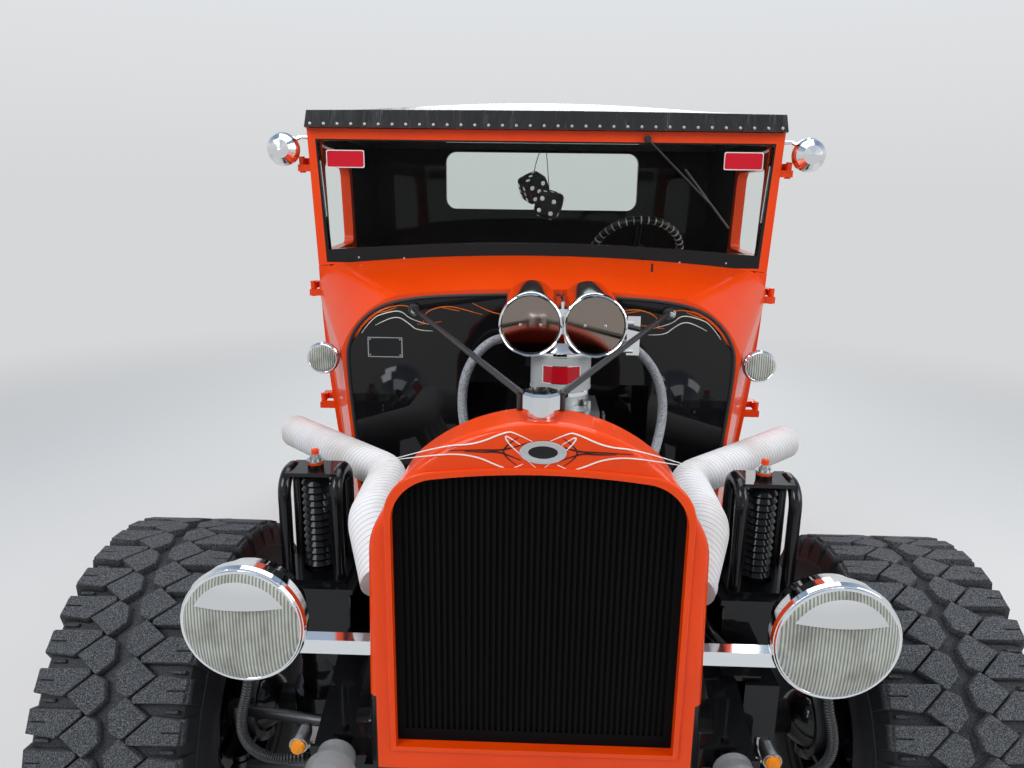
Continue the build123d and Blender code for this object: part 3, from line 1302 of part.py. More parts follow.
with BuildPart() as cab:
    add(body_shell.part)
    add(door_cutter.part, mode=Mode.SUBTRACT)
    extrude(
        screen_outline(SCREEN_HALF_FOOT + 200, SCREEN_FOOT - 28, SCREEN_CROWN - 1, 900, 1800, SCREEN_REAR + SEAT_GAP),
        amount=60, mode=Mode.SUBTRACT,
    )
    for _, hand in SIDES:
        for height in HINGE_HEIGHTS[:2]:
            half_hinge(hand, height, -HINGE_HALF, -SEAT_GAP, (SCREEN_Y + 3, HINGE_FOOT[1] - 4))
    with BuildSketch(facing(CAB_REAR + 10)) as rear_window:
        with Locations((0, 1618)):
            RectangleRounded(750, 216, 40)
    extrude(rear_window.sketch, amount=CAB_WALL + 30, mode=Mode.SUBTRACT)
    block((ENGINE_X - 170, ENGINE_X + 170), (SCREEN_Y - 1, 1000), (600, 740), Mode.SUBTRACT)
    with BuildSketch(facing(1001)) as tunnel:
        with BuildLine():
            Polyline(
                (ENGINE_X - 175, CAB_FOOT), (ENGINE_X - 175, FLOOR_HEIGHT), (ENGINE_X - 110, 755),
                (ENGINE_X + 110, 755), (ENGINE_X + 175, FLOOR_HEIGHT), (ENGINE_X + 175, CAB_FOOT),
                (ENGINE_X + 168, CAB_FOOT), (ENGINE_X + 168, FLOOR_HEIGHT - 6), (ENGINE_X + 104, 745),
                (ENGINE_X - 104, 745), (ENGINE_X - 168, FLOOR_HEIGHT - 6), (ENGINE_X - 168, CAB_FOOT),
                close=True,
            )
        make_face()
    extrude(tunnel.sketch, amount=1001 - RECESS_REAR - 6 - SEAT_GAP)
keep(cab, "cab")

for side_name, hand in SIDES:
    with BuildPart() as door:
        add(body_shell.part)
        with BuildSketch(Plane.YZ) as door_view:
            with Locations((back((DOOR_FRONT + DOOR_REAR) / 2), (DOOR_FOOT + DOOR_TOP) / 2)):
                RectangleRounded(DOOR_REAR - DOOR_FRONT, DOOR_TOP - DOOR_FOOT, 20)
        extrude(door_view.sketch, amount=hand * 900, mode=Mode.INTERSECT)
        with BuildSketch(Plane.YZ) as window_view:
            with Locations((back((DOOR_FRONT + DOOR_REAR) / 2), (WINDOW_FOOT + DOOR_TOP - WINDOW_MARGIN) / 2)):
                RectangleRounded(
                    DOOR_REAR - DOOR_FRONT - 2 * WINDOW_MARGIN, DOOR_TOP - WINDOW_MARGIN - WINDOW_FOOT, 30
                )
        extrude(window_view.sketch, amount=hand * 900, mode=Mode.SUBTRACT)
        for height in HINGE_HEIGHTS:
            half_hinge(hand, height, HINGE_HALF, SEAT_GAP, (DOOR_FRONT + 2, DOOR_FRONT + 30))
        handle_y = DOOR_REAR - 62
        bar(spot(hand * 655, handle_y, HANDLE_HEIGHT), spot(hand * HANDLE_X, handle_y, HANDLE_HEIGHT), 11)
        bar(
            spot(hand * HANDLE_X, handle_y + 8, HANDLE_HEIGHT), spot(hand * HANDLE_X, handle_y - 96, HANDLE_HEIGHT - 4),
            8, end_radius=6,
        )
    keep(door, f"door_{side_name}")


def cowl_face(distance, foot, side, side_z, corner_x, corner_z, crown, inset, foot_z):
    with BuildSketch(facing(distance)) as section:
        with BuildLine():
            Line((inset - foot, foot_z), (foot - inset, foot_z))
            Line((foot - inset, foot_z), (side - inset, side_z))
            mid = ((side + corner_x) / 2 + 14 - inset, (side_z + corner_z) / 2 + 22 - inset)
            ThreePointArc((side - inset, side_z), mid, (corner_x - inset, corner_z - inset))
            ThreePointArc(
                (corner_x - inset, corner_z - inset), (0, crown - inset), (inset - corner_x, corner_z - inset)
            )
            ThreePointArc((inset - corner_x, corner_z - inset), (-mid[0], mid[1]), (inset - side, side_z))
            Line((inset - side, side_z), (inset - foot, foot_z))
        make_face()
    return section.sketch.face()


COWL_SECTIONS = (  # distance, half foot, half side, side height, corner x and height, crown
    (FIREWALL_Y, 446, 490, 1190, 345, 1333, 1353),
    (SCREEN_Y - SEAT_GAP, 540, 612, 1300, 545, 1382, 1410),
)
COWL_WALL = 14
with BuildPart() as cowl:
    loft([cowl_face(*row, 0, CAB_FOOT) for row in COWL_SECTIONS])
    loft([cowl_face(*row, COWL_WALL, CAB_FOOT + 12) for row in COWL_SECTIONS], mode=Mode.SUBTRACT)
    block(
        (ENGINE_X - 232, ENGINE_X + 232), (FIREWALL_Y - 20, RECESS_REAR + 7), (600, 700), Mode.SUBTRACT
    )
    block((ENGINE_X - 176, ENGINE_X + 176), (RECESS_REAR, SCREEN_Y + 1), (600, 700), Mode.SUBTRACT)
keep(cowl, "cowl")

with BuildPart() as firewall:
    extrude(cowl_face(*COWL_SECTIONS[0], COWL_WALL + 2, CAB_FOOT + 14), amount=-FIREWALL_SHEET)
    low, high = ENGINE_X - 225, ENGINE_X + 225
    front, rear = COWL_SECTIONS[0][0], RECESS_REAR
    block((low, high), (front - 5, rear), (600, RECESS_TOP), Mode.SUBTRACT)
    block((low - 6, low), (front, rear + 6), (CAB_FOOT + 14, RECESS_TOP + 6))
    block((high, high + 6), (front, rear + 6), (CAB_FOOT + 14, RECESS_TOP + 6))
    block((low - 6, high + 6), (front, rear + 6), (RECESS_TOP, RECESS_TOP + 6))
    block((low - 6, high + 6), (rear, rear + 6), (TUNNEL_TOP - 20, RECESS_TOP + 6))
    bar(spot(352, front - 20, 856), spot(352, front + 20, 856), 24, Mode.SUBTRACT)
    for route in (HOSE_LEFT, HOSE_RIGHT):
        cord_stub(route, 24, HOSE_RADIUS + 3)
keep(firewall, "firewall")

with BuildPart() as screen_frame:
    extrude(
        screen_outline(SCREEN_HALF_FOOT, SCREEN_FOOT, SCREEN_CROWN, SCREEN_HALF_HEAD, SCREEN_HEAD, SCREEN_REAR),
        amount=SCREEN_REAR - SCREEN_Y,
    )
    extrude(
        screen_outline(GLASS_HALF_FOOT, GLASS_FOOT, GLASS_CROWN, GLASS_HALF_HEAD, GLASS_HEAD, SCREEN_REAR + 1),
        amount=SCREEN_REAR - SCREEN_Y + 2, mode=Mode.SUBTRACT,
    )
    for _, hand in SIDES:
        half_hinge(
            hand, HINGE_HEIGHTS[2], -HINGE_HALF, -SEAT_GAP, (SCREEN_Y + 3, HINGE_FOOT[1] - 4)
        )
keep(screen_frame, "windscreen_frame")

with BuildPart() as glass:
    extrude(
        screen_outline(
            GLASS_HALF_FOOT - SEAT_GAP, GLASS_FOOT + SEAT_GAP, GLASS_CROWN + SEAT_GAP,
            GLASS_HALF_HEAD - SEAT_GAP, GLASS_HEAD - SEAT_GAP, SCREEN_Y + 18,
        ),
        amount=6,
    )
    with BuildSketch(facing(CAB_REAR - 10)) as rear_pane:
        with Locations((0, 1618)):
            RectangleRounded(749.4, 215.4, 39.7)
    extrude(rear_pane.sketch, amount=6)
keep(glass, "cab_glass")

ROOF_SECTIONS = (  # distance, half width, edge height, crown
    (540, 628, 1778, 1782),
    (1050, 690, 1790, ROOF_CROWN),
    (CAB_REAR + 12, 694, 1778, 1800),
)
ROOF_WALL = 22


def roof_face(distance, half, edge_z, crown_z, inset):
    """The roof's section, drawn inward by inset and kept inset from both ends."""
    distance = min(max(distance, ROOF_SECTIONS[0][0] + inset), ROOF_SECTIONS[-1][0] - inset)
    foot_z = CAB_TOP + SEAT_GAP - (inset > 0)
    half -= inset
    with BuildSketch(facing(distance)) as section:
        with BuildLine():
            Line((-half, foot_z), (half, foot_z))
            Line((half, foot_z), (half - 8, edge_z - inset))
            ThreePointArc((half - 8, edge_z - inset), (0, crown_z - inset), (8 - half, edge_z - inset))
            Line((8 - half, edge_z - inset), (-half, foot_z))
        make_face()
    return section.sketch.face()


with BuildPart() as roof:
    loft([roof_face(*row, 0) for row in ROOF_SECTIONS])
    loft([roof_face(*row, ROOF_WALL) for row in ROOF_SECTIONS], mode=Mode.SUBTRACT)
keep(roof, "roof")


# Inside the cab: seat, dashboard and steering wheel.
with BuildPart() as seat:
    with BuildSketch(along(0)) as seat_side:
        with BuildLine():
            Polyline(
                (1040, 790), (1040, 950), (1390, 925), (1450, SEAT_TOP), (1530, SEAT_TOP), (1530, 790),
                close=True,
            )
        make_face()
        fillet(seat_side.vertices(), 28)
    extrude(seat_side.sketch, amount=SEAT_HALF, both=True)
    block((-470, 470), (1090, 1480), (FLOOR_HEIGHT + SEAT_GAP, 800))
keep(seat, "seat")

with BuildPart() as steering_wheel:
    column_end = Vector(*spot(*COLUMN_HIGH))
    lean = (column_end - Vector(*spot(*COLUMN_BEND))).normalized()
    hub = column_end + lean * SEAT_GAP
    disc = Plane(origin=hub, x_dir=(1, 0, 0), z_dir=lean)
    with BuildSketch(Plane(origin=hub + lean * 12, x_dir=disc.x_dir, z_dir=disc.y_dir)) as grip:
        with Locations((WHEEL_GRIP - 11, 0)):
            Circle(11)
    revolve(grip.sketch, axis=Axis(hub, lean))
    for angle in (30, 150, 270):
        reach = WHEEL_GRIP - 14
        end = disc.from_local_coords(Vector(reach * cos(radians(angle)), reach * sin(radians(angle)), 12))
        bar(hub + lean * 12, end, 7)
    bar(hub, hub + lean * 26, 30)
keep(steering_wheel, "steering_wheel")


# Small lamps, mirrors and the wiper on the cab.
def cowl_side_x(distance, height):
    """The x of the cowl's outer side at this distance and height."""
    near, far = COWL_SECTIONS
    share = (distance - near[0]) / (far[0] - near[0])
    foot = near[1] + share * (far[1] - near[1])
    side = near[2] + share * (far[2] - near[2])
    side_z = near[3] + share * (far[3] - near[3])
    return foot + (side - foot) * (height - CAB_FOOT) / (side_z - CAB_FOOT)


with BuildPart() as cowl_lamps:
    for _, hand in SIDES:
        where = spot(hand * 537, 0, 1172)
        turned(
            [(0, 290), (36, 290), (40, 294), (40, 304), (34, 325), (20, 345), (0, 352)],
            level_plane(where[0], where[2]), Axis(where, (0, 1, 0)),
        )
        bar(spot(hand * 537, 325, 1172), spot(hand * (cowl_side_x(325, 1172) + 3.6), 325, 1172), 6)
keep(cowl_lamps, "cowl_lamps")

with BuildPart() as mirrors:
    for _, hand in SIDES:
        where = spot(hand * 690, 0, 1680)
        turned(
            [(0, 520), (24, 524), (38, 538), (43, 552), (43, 562), (0, 562)],
            level_plane(where[0], where[2]), Axis(where, (0, 1, 0)),
        )
        bar(spot(hand * 690, 545, 1690), spot(hand * 650, 575, 1712), 5)
        bar(spot(hand * 655, 575, 1712), spot(hand * (SCREEN_HALF_HEAD - 0.3), 575, 1712), 5)
keep(mirrors, "mirrors")


with BuildPart() as wiper:
    bar(spot(270, SCREEN_Y - SEAT_GAP, 1716), spot(270, SCREEN_Y - 14, 1716), 9)
    bar(spot(270, SCREEN_Y - 10, 1716), spot(455, SCREEN_Y + 4, 1545), 3)
    bar(spot(375, SCREEN_Y + 6, 1640), spot(500, SCREEN_Y + 6, 1490), 4)
keep(wiper, "wiper")


# Bed, tailgate, tail lamps and rear bumper.
GATE_HALF = BED_HALF - BED_SHEET - GATE_GAP
GATE_AXIS_Y = BED_REAR - BED_SHEET / 2
GATE_AXIS_Z = BED_FLOOR + BED_SHEET + GATE_GAP + 10
with BuildPart() as bed:
    block((-BED_HALF, BED_HALF), (BED_FRONT, BED_REAR), (BED_FLOOR, BED_TOP))
    block(
        (BED_SHEET - BED_HALF, BED_HALF - BED_SHEET), (BED_FRONT + BED_SHEET, BED_REAR + 5),
        (BED_FLOOR + BED_SHEET, BED_TOP + 5), Mode.SUBTRACT,
    )
    bar(
        spot(-BED_HALF - 1, GATE_AXIS_Y, GATE_AXIS_Z), spot(BED_HALF + 1, GATE_AXIS_Y, GATE_AXIS_Z),
        GATE_PIN + FIT_GAP, Mode.SUBTRACT,
    )
    for _, hand in SIDES:
        bar(
            spot(hand * (BED_HALF - 6), BED_FRONT, BED_TOP), spot(hand * (BED_HALF - 6), BED_REAR, BED_TOP),
            BED_ROLL,
        )
        for rib_y in BED_RIBS:
            block(
                sorted((hand * (BED_HALF - 2), hand * (BED_HALF + 10))), (rib_y - 22, rib_y + 22),
                (BED_FLOOR, BED_TOP - 4),
            )
    bar(spot(-BED_HALF + 6, BED_FRONT + 10, BED_TOP), spot(BED_HALF - 6, BED_FRONT + 10, BED_TOP), BED_ROLL)
keep(bed, "bed")

with BuildPart() as tailgate:
    block((-GATE_HALF, GATE_HALF), (BED_REAR - BED_SHEET, BED_REAR), (GATE_AXIS_Z, BED_TOP))
    bar(spot(-GATE_HALF, GATE_AXIS_Y, GATE_AXIS_Z), spot(GATE_HALF, GATE_AXIS_Y, GATE_AXIS_Z), BED_SHEET / 2)
    pin_end = BED_HALF - 5
    bar(spot(-pin_end, GATE_AXIS_Y, GATE_AXIS_Z), spot(pin_end, GATE_AXIS_Y, GATE_AXIS_Z), GATE_PIN)
keep(tailgate, "tailgate")

BUMPER_HALF = 500
BUMPER_HEIGHT = 620
BUMPER_RADIUS = 18
COLLAR = 3
with BuildPart() as bumper:
    bumper_y = WHEEL_BASE + OVERHANG - BUMPER_RADIUS - COLLAR
    bar(
        spot(-BUMPER_HALF, bumper_y, BUMPER_HEIGHT), spot(BUMPER_HALF, bumper_y, BUMPER_HEIGHT),
        BUMPER_RADIUS,
    )
    for _, hand in SIDES:
        block(
            (hand * RAIL_X - 15, hand * RAIL_X + 15), (RAIL_REAR + SEAT_GAP, bumper_y),
            (BUMPER_HEIGHT - 15, BUMPER_HEIGHT + 15),
        )
        bar(
            spot(hand * RAIL_X - 15, bumper_y, BUMPER_HEIGHT), spot(hand * RAIL_X + 15, bumper_y, BUMPER_HEIGHT),
            BUMPER_RADIUS + COLLAR,
        )
keep(bumper, "rear_bumper")

TAIL_LAMP_X = 500
TAIL_LAMP_HEIGHT = 705
TAIL_LAMP_RADIUS = 42
with BuildPart() as tail_lamps:
    for _, hand in SIDES:
        bar(
            spot(hand * TAIL_LAMP_X, RAIL_REAR - 30, TAIL_LAMP_HEIGHT),
            spot(hand * TAIL_LAMP_X, RAIL_REAR + 25, TAIL_LAMP_HEIGHT), TAIL_LAMP_RADIUS,
        )
        bar(
            spot(hand * (RAIL_X + RAIL_WIDTH / 2 + SEAT_GAP), RAIL_REAR - 15, TAIL_LAMP_HEIGHT),
            spot(hand * (TAIL_LAMP_X - 30), RAIL_REAR - 15, TAIL_LAMP_HEIGHT), 8,
        )
keep(tail_lamps, "tail_lamps")
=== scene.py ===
# %% [markdown]
# # A hot rod pickup, dressed in Blender
# The metal structure of this car is already modelled at its real size, and loads as a fixed
# frame of named nodes. This script gives every surface its finish and adds the pieces that a
# solid model leaves plain: tyre blocks, lamp glass, painted lines, hoses, studs and dice.
# All lengths are metres. The car faces -Y, its left side is +X, and the ground is z = 0.

# %% Load the frame
import json
from contextlib import contextmanager
from math import cos, hypot, pi, radians, sin

import bmesh
import bpy
from mathutils import Matrix, Vector


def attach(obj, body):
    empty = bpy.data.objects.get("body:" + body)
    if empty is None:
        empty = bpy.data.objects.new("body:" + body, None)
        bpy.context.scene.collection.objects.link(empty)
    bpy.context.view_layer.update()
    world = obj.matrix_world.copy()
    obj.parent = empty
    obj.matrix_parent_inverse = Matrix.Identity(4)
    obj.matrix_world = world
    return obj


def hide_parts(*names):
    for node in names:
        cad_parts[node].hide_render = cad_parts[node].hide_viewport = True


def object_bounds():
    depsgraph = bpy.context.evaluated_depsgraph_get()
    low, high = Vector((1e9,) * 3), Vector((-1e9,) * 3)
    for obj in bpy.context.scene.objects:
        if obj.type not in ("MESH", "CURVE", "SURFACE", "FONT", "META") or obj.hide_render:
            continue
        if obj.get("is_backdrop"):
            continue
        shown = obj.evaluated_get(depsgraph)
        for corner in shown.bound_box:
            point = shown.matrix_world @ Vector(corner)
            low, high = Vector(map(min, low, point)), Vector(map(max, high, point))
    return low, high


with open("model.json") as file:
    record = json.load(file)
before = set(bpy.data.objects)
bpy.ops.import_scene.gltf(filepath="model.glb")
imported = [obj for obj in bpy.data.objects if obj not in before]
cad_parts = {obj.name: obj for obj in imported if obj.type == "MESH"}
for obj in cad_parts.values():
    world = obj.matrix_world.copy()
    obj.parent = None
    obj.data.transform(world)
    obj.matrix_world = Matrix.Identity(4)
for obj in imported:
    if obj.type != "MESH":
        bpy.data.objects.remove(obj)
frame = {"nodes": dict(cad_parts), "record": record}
cad_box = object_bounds()
nodes = frame["nodes"]
slot_of = {part["node"]: part["material_slot"] for part in frame["record"]["subparts"]}
FRONT_AXLE = -1.270
TYRE_RADIUS = 0.415
SIDES = (("left", 1), ("right", -1))
print(len(nodes), "nodes in the frame")

# %% [markdown]
# ## Colours and nodes
# Paint charts give colours as sRGB hex values, but Blender's nodes count in linear light. One
# function turns a hex value to linear, and one small function adds a node with its settings
# and links, so that each material below reads as a short list of what its surface does.

# %% Colour and node helpers
ALL = slice(None)


def colour(code):
    """A hex colour such as "f2500a" as linear red, green, blue and alpha."""
    parts = [int(code[i:i + 2], 16) / 255 for i in (0, 2, 4)]
    return [p / 12.92 if p <= 0.04045 else ((p + 0.055) / 1.055) ** 2.4 for p in parts] + [1.0]


def feed(node, inputs):
    """Sets each named or numbered input of a node, or links it where the value is a socket."""
    for socket, value in inputs.items():
        if isinstance(value, bpy.types.NodeSocket):
            node.id_data.links.new(value, node.inputs[socket])
        else:
            node.inputs[socket].default_value = value


def add_node(tree, kind, inputs, gives=0, stops=(), **settings):
    """Adds a node with its settings, inputs and colour stops, and hands back one output."""
    made = tree.nodes.new("ShaderNode" + kind)
    for name, value in settings.items():
        setattr(made, name, value)
    feed(made, inputs if isinstance(inputs, dict) else dict(enumerate(inputs)))
    if stops:
        marks = made.color_ramp.elements
        for mark, (place, code) in zip(marks, (stops[0], stops[-1])):
            mark.position, mark.color = place, colour(code)
        for place, code in stops[1:-1]:
            marks.new(place).color = colour(code)
    return made.outputs[gives]


def start_material(name, values):
    """A material with the values of its one shader; also its node tree and that shader."""
    made = bpy.data.materials.new(name)
    made.use_nodes = True
    shader = made.node_tree.nodes["Principled BSDF"]
    feed(shader, values)
    return made, made.node_tree, shader


# %% [markdown]
# ## Enamel
# The body is sprayed with two-pack orange enamel and polished. Enamel is a coloured base with
# a clear, hard coat on it: the coat gives the sharp reflections, and the base keeps a soft
# spread of light. A very fine, shallow waviness, called orange peel, stops the coat from
# looking like glass. Its real pitch is about 3 mm.

# %% Enamels
PEEL_PITCH = 0.003


def enamel(name, code, darker, wave=0.00002, coat=0.5):
    """Sprayed gloss paint: two close tones, clear coat and orange peel."""
    made, tree, shader = start_material(name, {
        "Roughness": 0.4, "Specular IOR Level": 0.1, "Coat Weight": coat, "Coat Roughness": 0.03,
    })
    own = add_node(tree, "TexCoord", {}, "Object")
    cloud = add_node(tree, "TexNoise", {"Vector": own, "Scale": 5.0, "Detail": 4.0})
    peel = add_node(tree, "TexNoise", {"Vector": own, "Scale": 1 / PEEL_PITCH, "Detail": 1.0})
    tones = ((0.3, darker), (0.7, code))
    feed(shader, {
        "Base Color": add_node(tree, "ValToRGB", {"Fac": cloud}, stops=tones),
        "Normal": add_node(tree, "Bump", {"Height": peel, "Distance": wave}),
    })
    return made


orange_enamel = enamel("orange_enamel", "ee4600", "e54000", coat=0.4)
black_enamel = enamel("black_enamel", "09090b", "050507", coat=0.6)
grey_enamel = enamel("grey_enamel", "8b8d8e", "7c7e80")

# %% [markdown]
# ## Bright metal
# Lamp shells, the scoop and the cap are chromium plate on brass: almost a mirror, with a
# bluish tint and only a breath of haze. Cast aluminium is much rougher, with a fine grain from
# the sand it was poured in. Zinc plate on bolts is dull and patchy. The haze and the grain are
# noise at the size of the real marks, and the metals keep the shader's own IOR.

# %% Metals
def metal(name, code, rough_low, rough_high, haze_scale, grain=None):
    """A bare or plated metal with uneven roughness, and a cast grain if it has one."""
    made, tree, shader = start_material(name, {"Metallic": 1.0, "Base Color": colour(code)})
    own = add_node(tree, "TexCoord", {}, "Object")
    haze = add_node(tree, "TexNoise", {"Vector": own, "Scale": haze_scale, "Detail": 5.0})
    spread = {"Value": haze, "To Min": rough_low, "To Max": rough_high}
    feed(shader, {"Roughness": add_node(tree, "MapRange", spread)})
    if grain:
        pitch, depth = grain
        sand = add_node(tree, "TexNoise", {"Vector": own, "Scale": 1 / pitch, "Detail": 3.0})
        feed(shader, {"Normal": add_node(tree, "Bump", {"Height": sand, "Distance": depth})})
    return made


chrome_plate = metal("chrome_plate", "e4e6e8", 0.03, 0.09, 18.0)
polished_steel = metal("polished_steel", "c9cacb", 0.12, 0.28, 30.0)
cast_aluminium = metal("cast_aluminium", "b6b8b9", 0.32, 0.5, 25.0, grain=(0.0012, 0.0001))
zinc_plate = metal("zinc_plate", "b9bbb8", 0.25, 0.5, 60.0)
dark_steel = metal("dark_steel", "4c4c4e", 0.3, 0.55, 20.0, grain=(0.002, 0.0001))

# %% [markdown]
# ## Rubber, plastic and vinyl
# A tyre is moulded black rubber that picks up road dust wherever it touches the ground, so
# its block tops are greyer than its grooves. Vinyl is a grained plastic skin: its grain is a
# pattern of small cells one or two millimetres across, and on the roof, where it is pulled
# over an edge, it shows shallow stretch marks.

# %% Tyre rubber
DUST_START, DUST_FULL = 0.390, 0.405
DUST_PITCH = 0.0022


def tyre_rubber(name, axle_y):
    """Rubber that is dusty where the distance from the wheel's axis reaches the block tops."""
    made, tree, shader = start_material(name, {"Specular IOR Level": 0.35})
    own = add_node(tree, "TexCoord", {}, "Object")
    to_axle = {"Vector": own, "Location": (0, -axle_y, -TYRE_RADIUS)}
    from_axle = add_node(tree, "Mapping", to_axle)
    flat = add_node(tree, "VectorMath", (from_axle, (0, 1, 1)), operation="MULTIPLY")
    reach = add_node(tree, "VectorMath", (flat,), "Value", operation="LENGTH")
    limits = {"Value": reach, "From Min": DUST_START, "From Max": DUST_FULL}
    top = add_node(tree, "MapRange", limits)
    grit_inputs = {"Vector": from_axle, "Scale": 1 / DUST_PITCH, "Detail": 2.0}
    grit = add_node(tree, "TexNoise", grit_inputs)
    dust_tones = ((0.35, "222325"), (0.5, "404245"), (0.66, "6a6c6f"))
    dusty = add_node(tree, "ValToRGB", {"Fac": grit}, stops=dust_tones)
    bare = add_node(tree, "ValToRGB", {"Fac": grit}, stops=((0.3, "111214"), (0.7, "1d1e21")))
    feed(shader, {
        "Base Color": add_node(tree, "Mix", {0: top, 6: bare, 7: dusty}, 2, data_type="RGBA"),
        "Roughness": add_node(tree, "MapRange", {"Value": top, "To Min": 0.5, "To Max": 0.85}),
        "Normal": add_node(tree, "Bump", {"Height": grit, "Distance": 0.0003}),
    })
    return made


tyre_rubbers = {
    "front": tyre_rubber("tyre_rubber_front", FRONT_AXLE),
    "rear": tyre_rubber("tyre_rubber_rear", -FRONT_AXLE),
}


# %% Plain rubber, plastic and vinyl
def moulded(name, code, lighter, rough, pitch, depth, gloss=0.5, pull=0):
    """A moulded soft surface: two close tones, a fine cell grain and maybe stretch marks."""
    values = {"Roughness": rough, "Specular IOR Level": gloss}
    made, tree, shader = start_material(name, values)
    own = add_node(tree, "TexCoord", {}, "Object")
    cell_inputs = {"Vector": own, "Scale": 1 / pitch}
    cells = add_node(tree, "TexVoronoi", cell_inputs, feature="DISTANCE_TO_EDGE")
    cloud = add_node(tree, "TexNoise", {"Vector": own, "Scale": 9.0, "Detail": 4.0})
    grain = {"Height": cells, "Distance": depth, "Strength": 0.6}
    if pull:
        stretched = add_node(
            tree, "Mapping", {"Vector": own, "Scale": (1, 1, 0.25), "Rotation": (0, 0.25, 0)}
        )
        marks = add_node(
            tree, "TexNoise",
            {"Vector": stretched, "Scale": 26.0, "Detail": 3.0, "Distortion": 0.6},
        )
        pull_bump = {"Height": marks, "Distance": pull, "Strength": 0.6}
        grain["Normal"] = add_node(tree, "Bump", pull_bump)
    tones = ((0.3, code), (0.7, lighter))
    feed(shader, {
        "Base Color": add_node(tree, "ValToRGB", {"Fac": cloud}, stops=tones),
        "Normal": add_node(tree, "Bump", grain),
    })
    return made


black_rubber = moulded("black_rubber", "141416", "1e1f21", 0.55, 0.0015, 0.0001)
black_plastic = moulded("black_plastic", "0d0d0e", "161617", 0.38, 0.001, 0.00005)
roof_vinyl = moulded("roof_vinyl", "0d0e10", "17181b", 0.32, 0.0016, 0.0003, pull=0.012)
seat_vinyl = moulded("seat_vinyl", "1b1b1e", "26262a", 0.5, 0.002, 0.0003)
bare_core = moulded("bare_core", "020203", "050506", 0.8, 0.002, 0.0002, gloss=0.12)

# %% [markdown]
# ## Glass and lenses
# Window glass is thin and clear with a faint green tint. Its IOR is set near that of air,
# because a pane that has no thickness to speak of hardly bends the light. Lamp lenses are
# moulded in clear glass or in coloured plastic that lets about half of the light through.

# %% Glass
def clear(name, code, rough, transmission=1.0, ior=1.45):
    """A transparent moulded or drawn glass."""
    return start_material(name, {
        "Base Color": colour(code), "Roughness": rough, "Transmission Weight": transmission,
        "IOR": ior,
    })[0]


pane_glass = clear("pane_glass", "eef3f1", 0.01, ior=1.1)
lens_glass = clear("lens_glass", "f2f5f3", 0.02)
amber_plastic = clear("amber_plastic", "f08a12", 0.08, transmission=0.55)
red_plastic = clear("red_plastic", "a8120f", 0.1, transmission=0.4)

# %% [markdown]
# ## Woven coverings
# The exhaust pipes are bound with a woven glass-fibre tape that overlaps itself, so a step
# shows every 16 mm, and painted shade darkens the tape at the foot of each step. It is
# off-white and a little scorched. The laps run across each pipe because their pattern counts
# the distance forwards, outwards and up together. The thick hoses wear a jacket of grey yarn,
# whose stitches are about 2.4 mm apart.

# %% Exhaust wrap and woven jacket
WEAVE_PITCH = 0.0015
TAPE_STEP = 0.016
LAP_OUTWARD, LAP_UPWARD = 0.68, 0.35
STITCHES_PER_METRE = 420.0

exhaust_wrap, tree, shader = start_material(
    "exhaust_wrap", {"Roughness": 0.9, "Sheen Weight": 0.2}
)
own = add_node(tree, "TexCoord", {}, "Object")
weave = add_node(tree, "TexNoise", {"Vector": own, "Scale": 1 / WEAVE_PITCH, "Detail": 2.0})
scorch = add_node(tree, "TexNoise", {"Vector": own, "Scale": 7.0, "Detail": 6.0})
cloth_tones = ((0.3, "d8d2cd"), (0.55, "f0eeef"), (0.8, "f0eeef"))
cloth = add_node(tree, "ValToRGB", {"Fac": scorch}, stops=cloth_tones)
x, y, z = add_node(tree, "SeparateXYZ", (own,), ALL)
across = add_node(tree, "Math", (x,), operation="ABSOLUTE")
along = add_node(tree, "Math", (across, LAP_OUTWARD, y), operation="MULTIPLY_ADD")
along = add_node(tree, "Math", (z, LAP_UPWARD, along), operation="MULTIPLY_ADD")
turns = add_node(tree, "Math", (along, 1 / TAPE_STEP), operation="MULTIPLY")
lap = add_node(tree, "Math", (turns,), operation="FRACT")
# Painted shade: the tape is darker just past each lap's step, where the next lap overlaps it.
lap_shade_tones = ((0.0, "7b756f"), (0.14, "ffffff"), (1.0, "ffffff"))
lap_shade = add_node(tree, "ValToRGB", {"Fac": lap}, stops=lap_shade_tones)
lap_shaded_cloth = add_node(
    tree, "Mix", {0: 1.0, 6: cloth, 7: lap_shade}, 2, data_type="RGBA", blend_type="MULTIPLY"
)
height = add_node(tree, "Math", (weave, 0.25, lap), operation="MULTIPLY_ADD")
lap_bump = add_node(tree, "Bump", {"Height": height, "Distance": 0.0022})
feed(shader, {"Base Color": lap_shaded_cloth, "Normal": lap_bump})

woven_jacket, tree, shader = start_material("woven_jacket", {"Roughness": 0.6})
own = add_node(tree, "TexCoord", {}, "Object")
yarn = add_node(tree, "TexVoronoi", {"Vector": own, "Scale": STITCHES_PER_METRE}, feature="F1")
yarn_tones = ((0.1, "c6c7c9"), (0.6, "8b8d91"), (0.9, "5c5e62"))
feed(shader, {
    "Base Color": add_node(tree, "ValToRGB", {"Fac": yarn}, stops=yarn_tones),
    "Normal": add_node(tree, "Bump", {"Height": yarn, "Distance": 0.0008}),
})

# %% [markdown]
# ## First dressing
# Each node of the frame gets the finish that its material slot names, so that nothing is ever
# left plain grey. Nodes that a detailed piece replaces later keep this finish out of sight.

# %% Finishes by slot
finish_of = {
    "tyre": tyre_rubbers["front"], "rim_paint": black_enamel, "frame_paint": black_enamel,
    "body_paint": orange_enamel, "shock_orange": orange_enamel, "chrome": chrome_plate,
    "bare_steel": dark_steel, "black_rubber": black_rubber, "core_black": bare_core,
    "lens_glass": lens_glass, "clear_glass": pane_glass, "amber": amber_plastic,
    "horn_grey": grey_enamel, "engine_paint": black_enamel, "aluminium": cast_aluminium,
    "heat_wrap": exhaust_wrap, "firewall_black": black_enamel, "roof_vinyl": roof_vinyl,
    "seat_vinyl": seat_vinyl, "red_lens": red_plastic, "black_plastic": black_plastic,
    "braided_hose": woven_jacket,
}


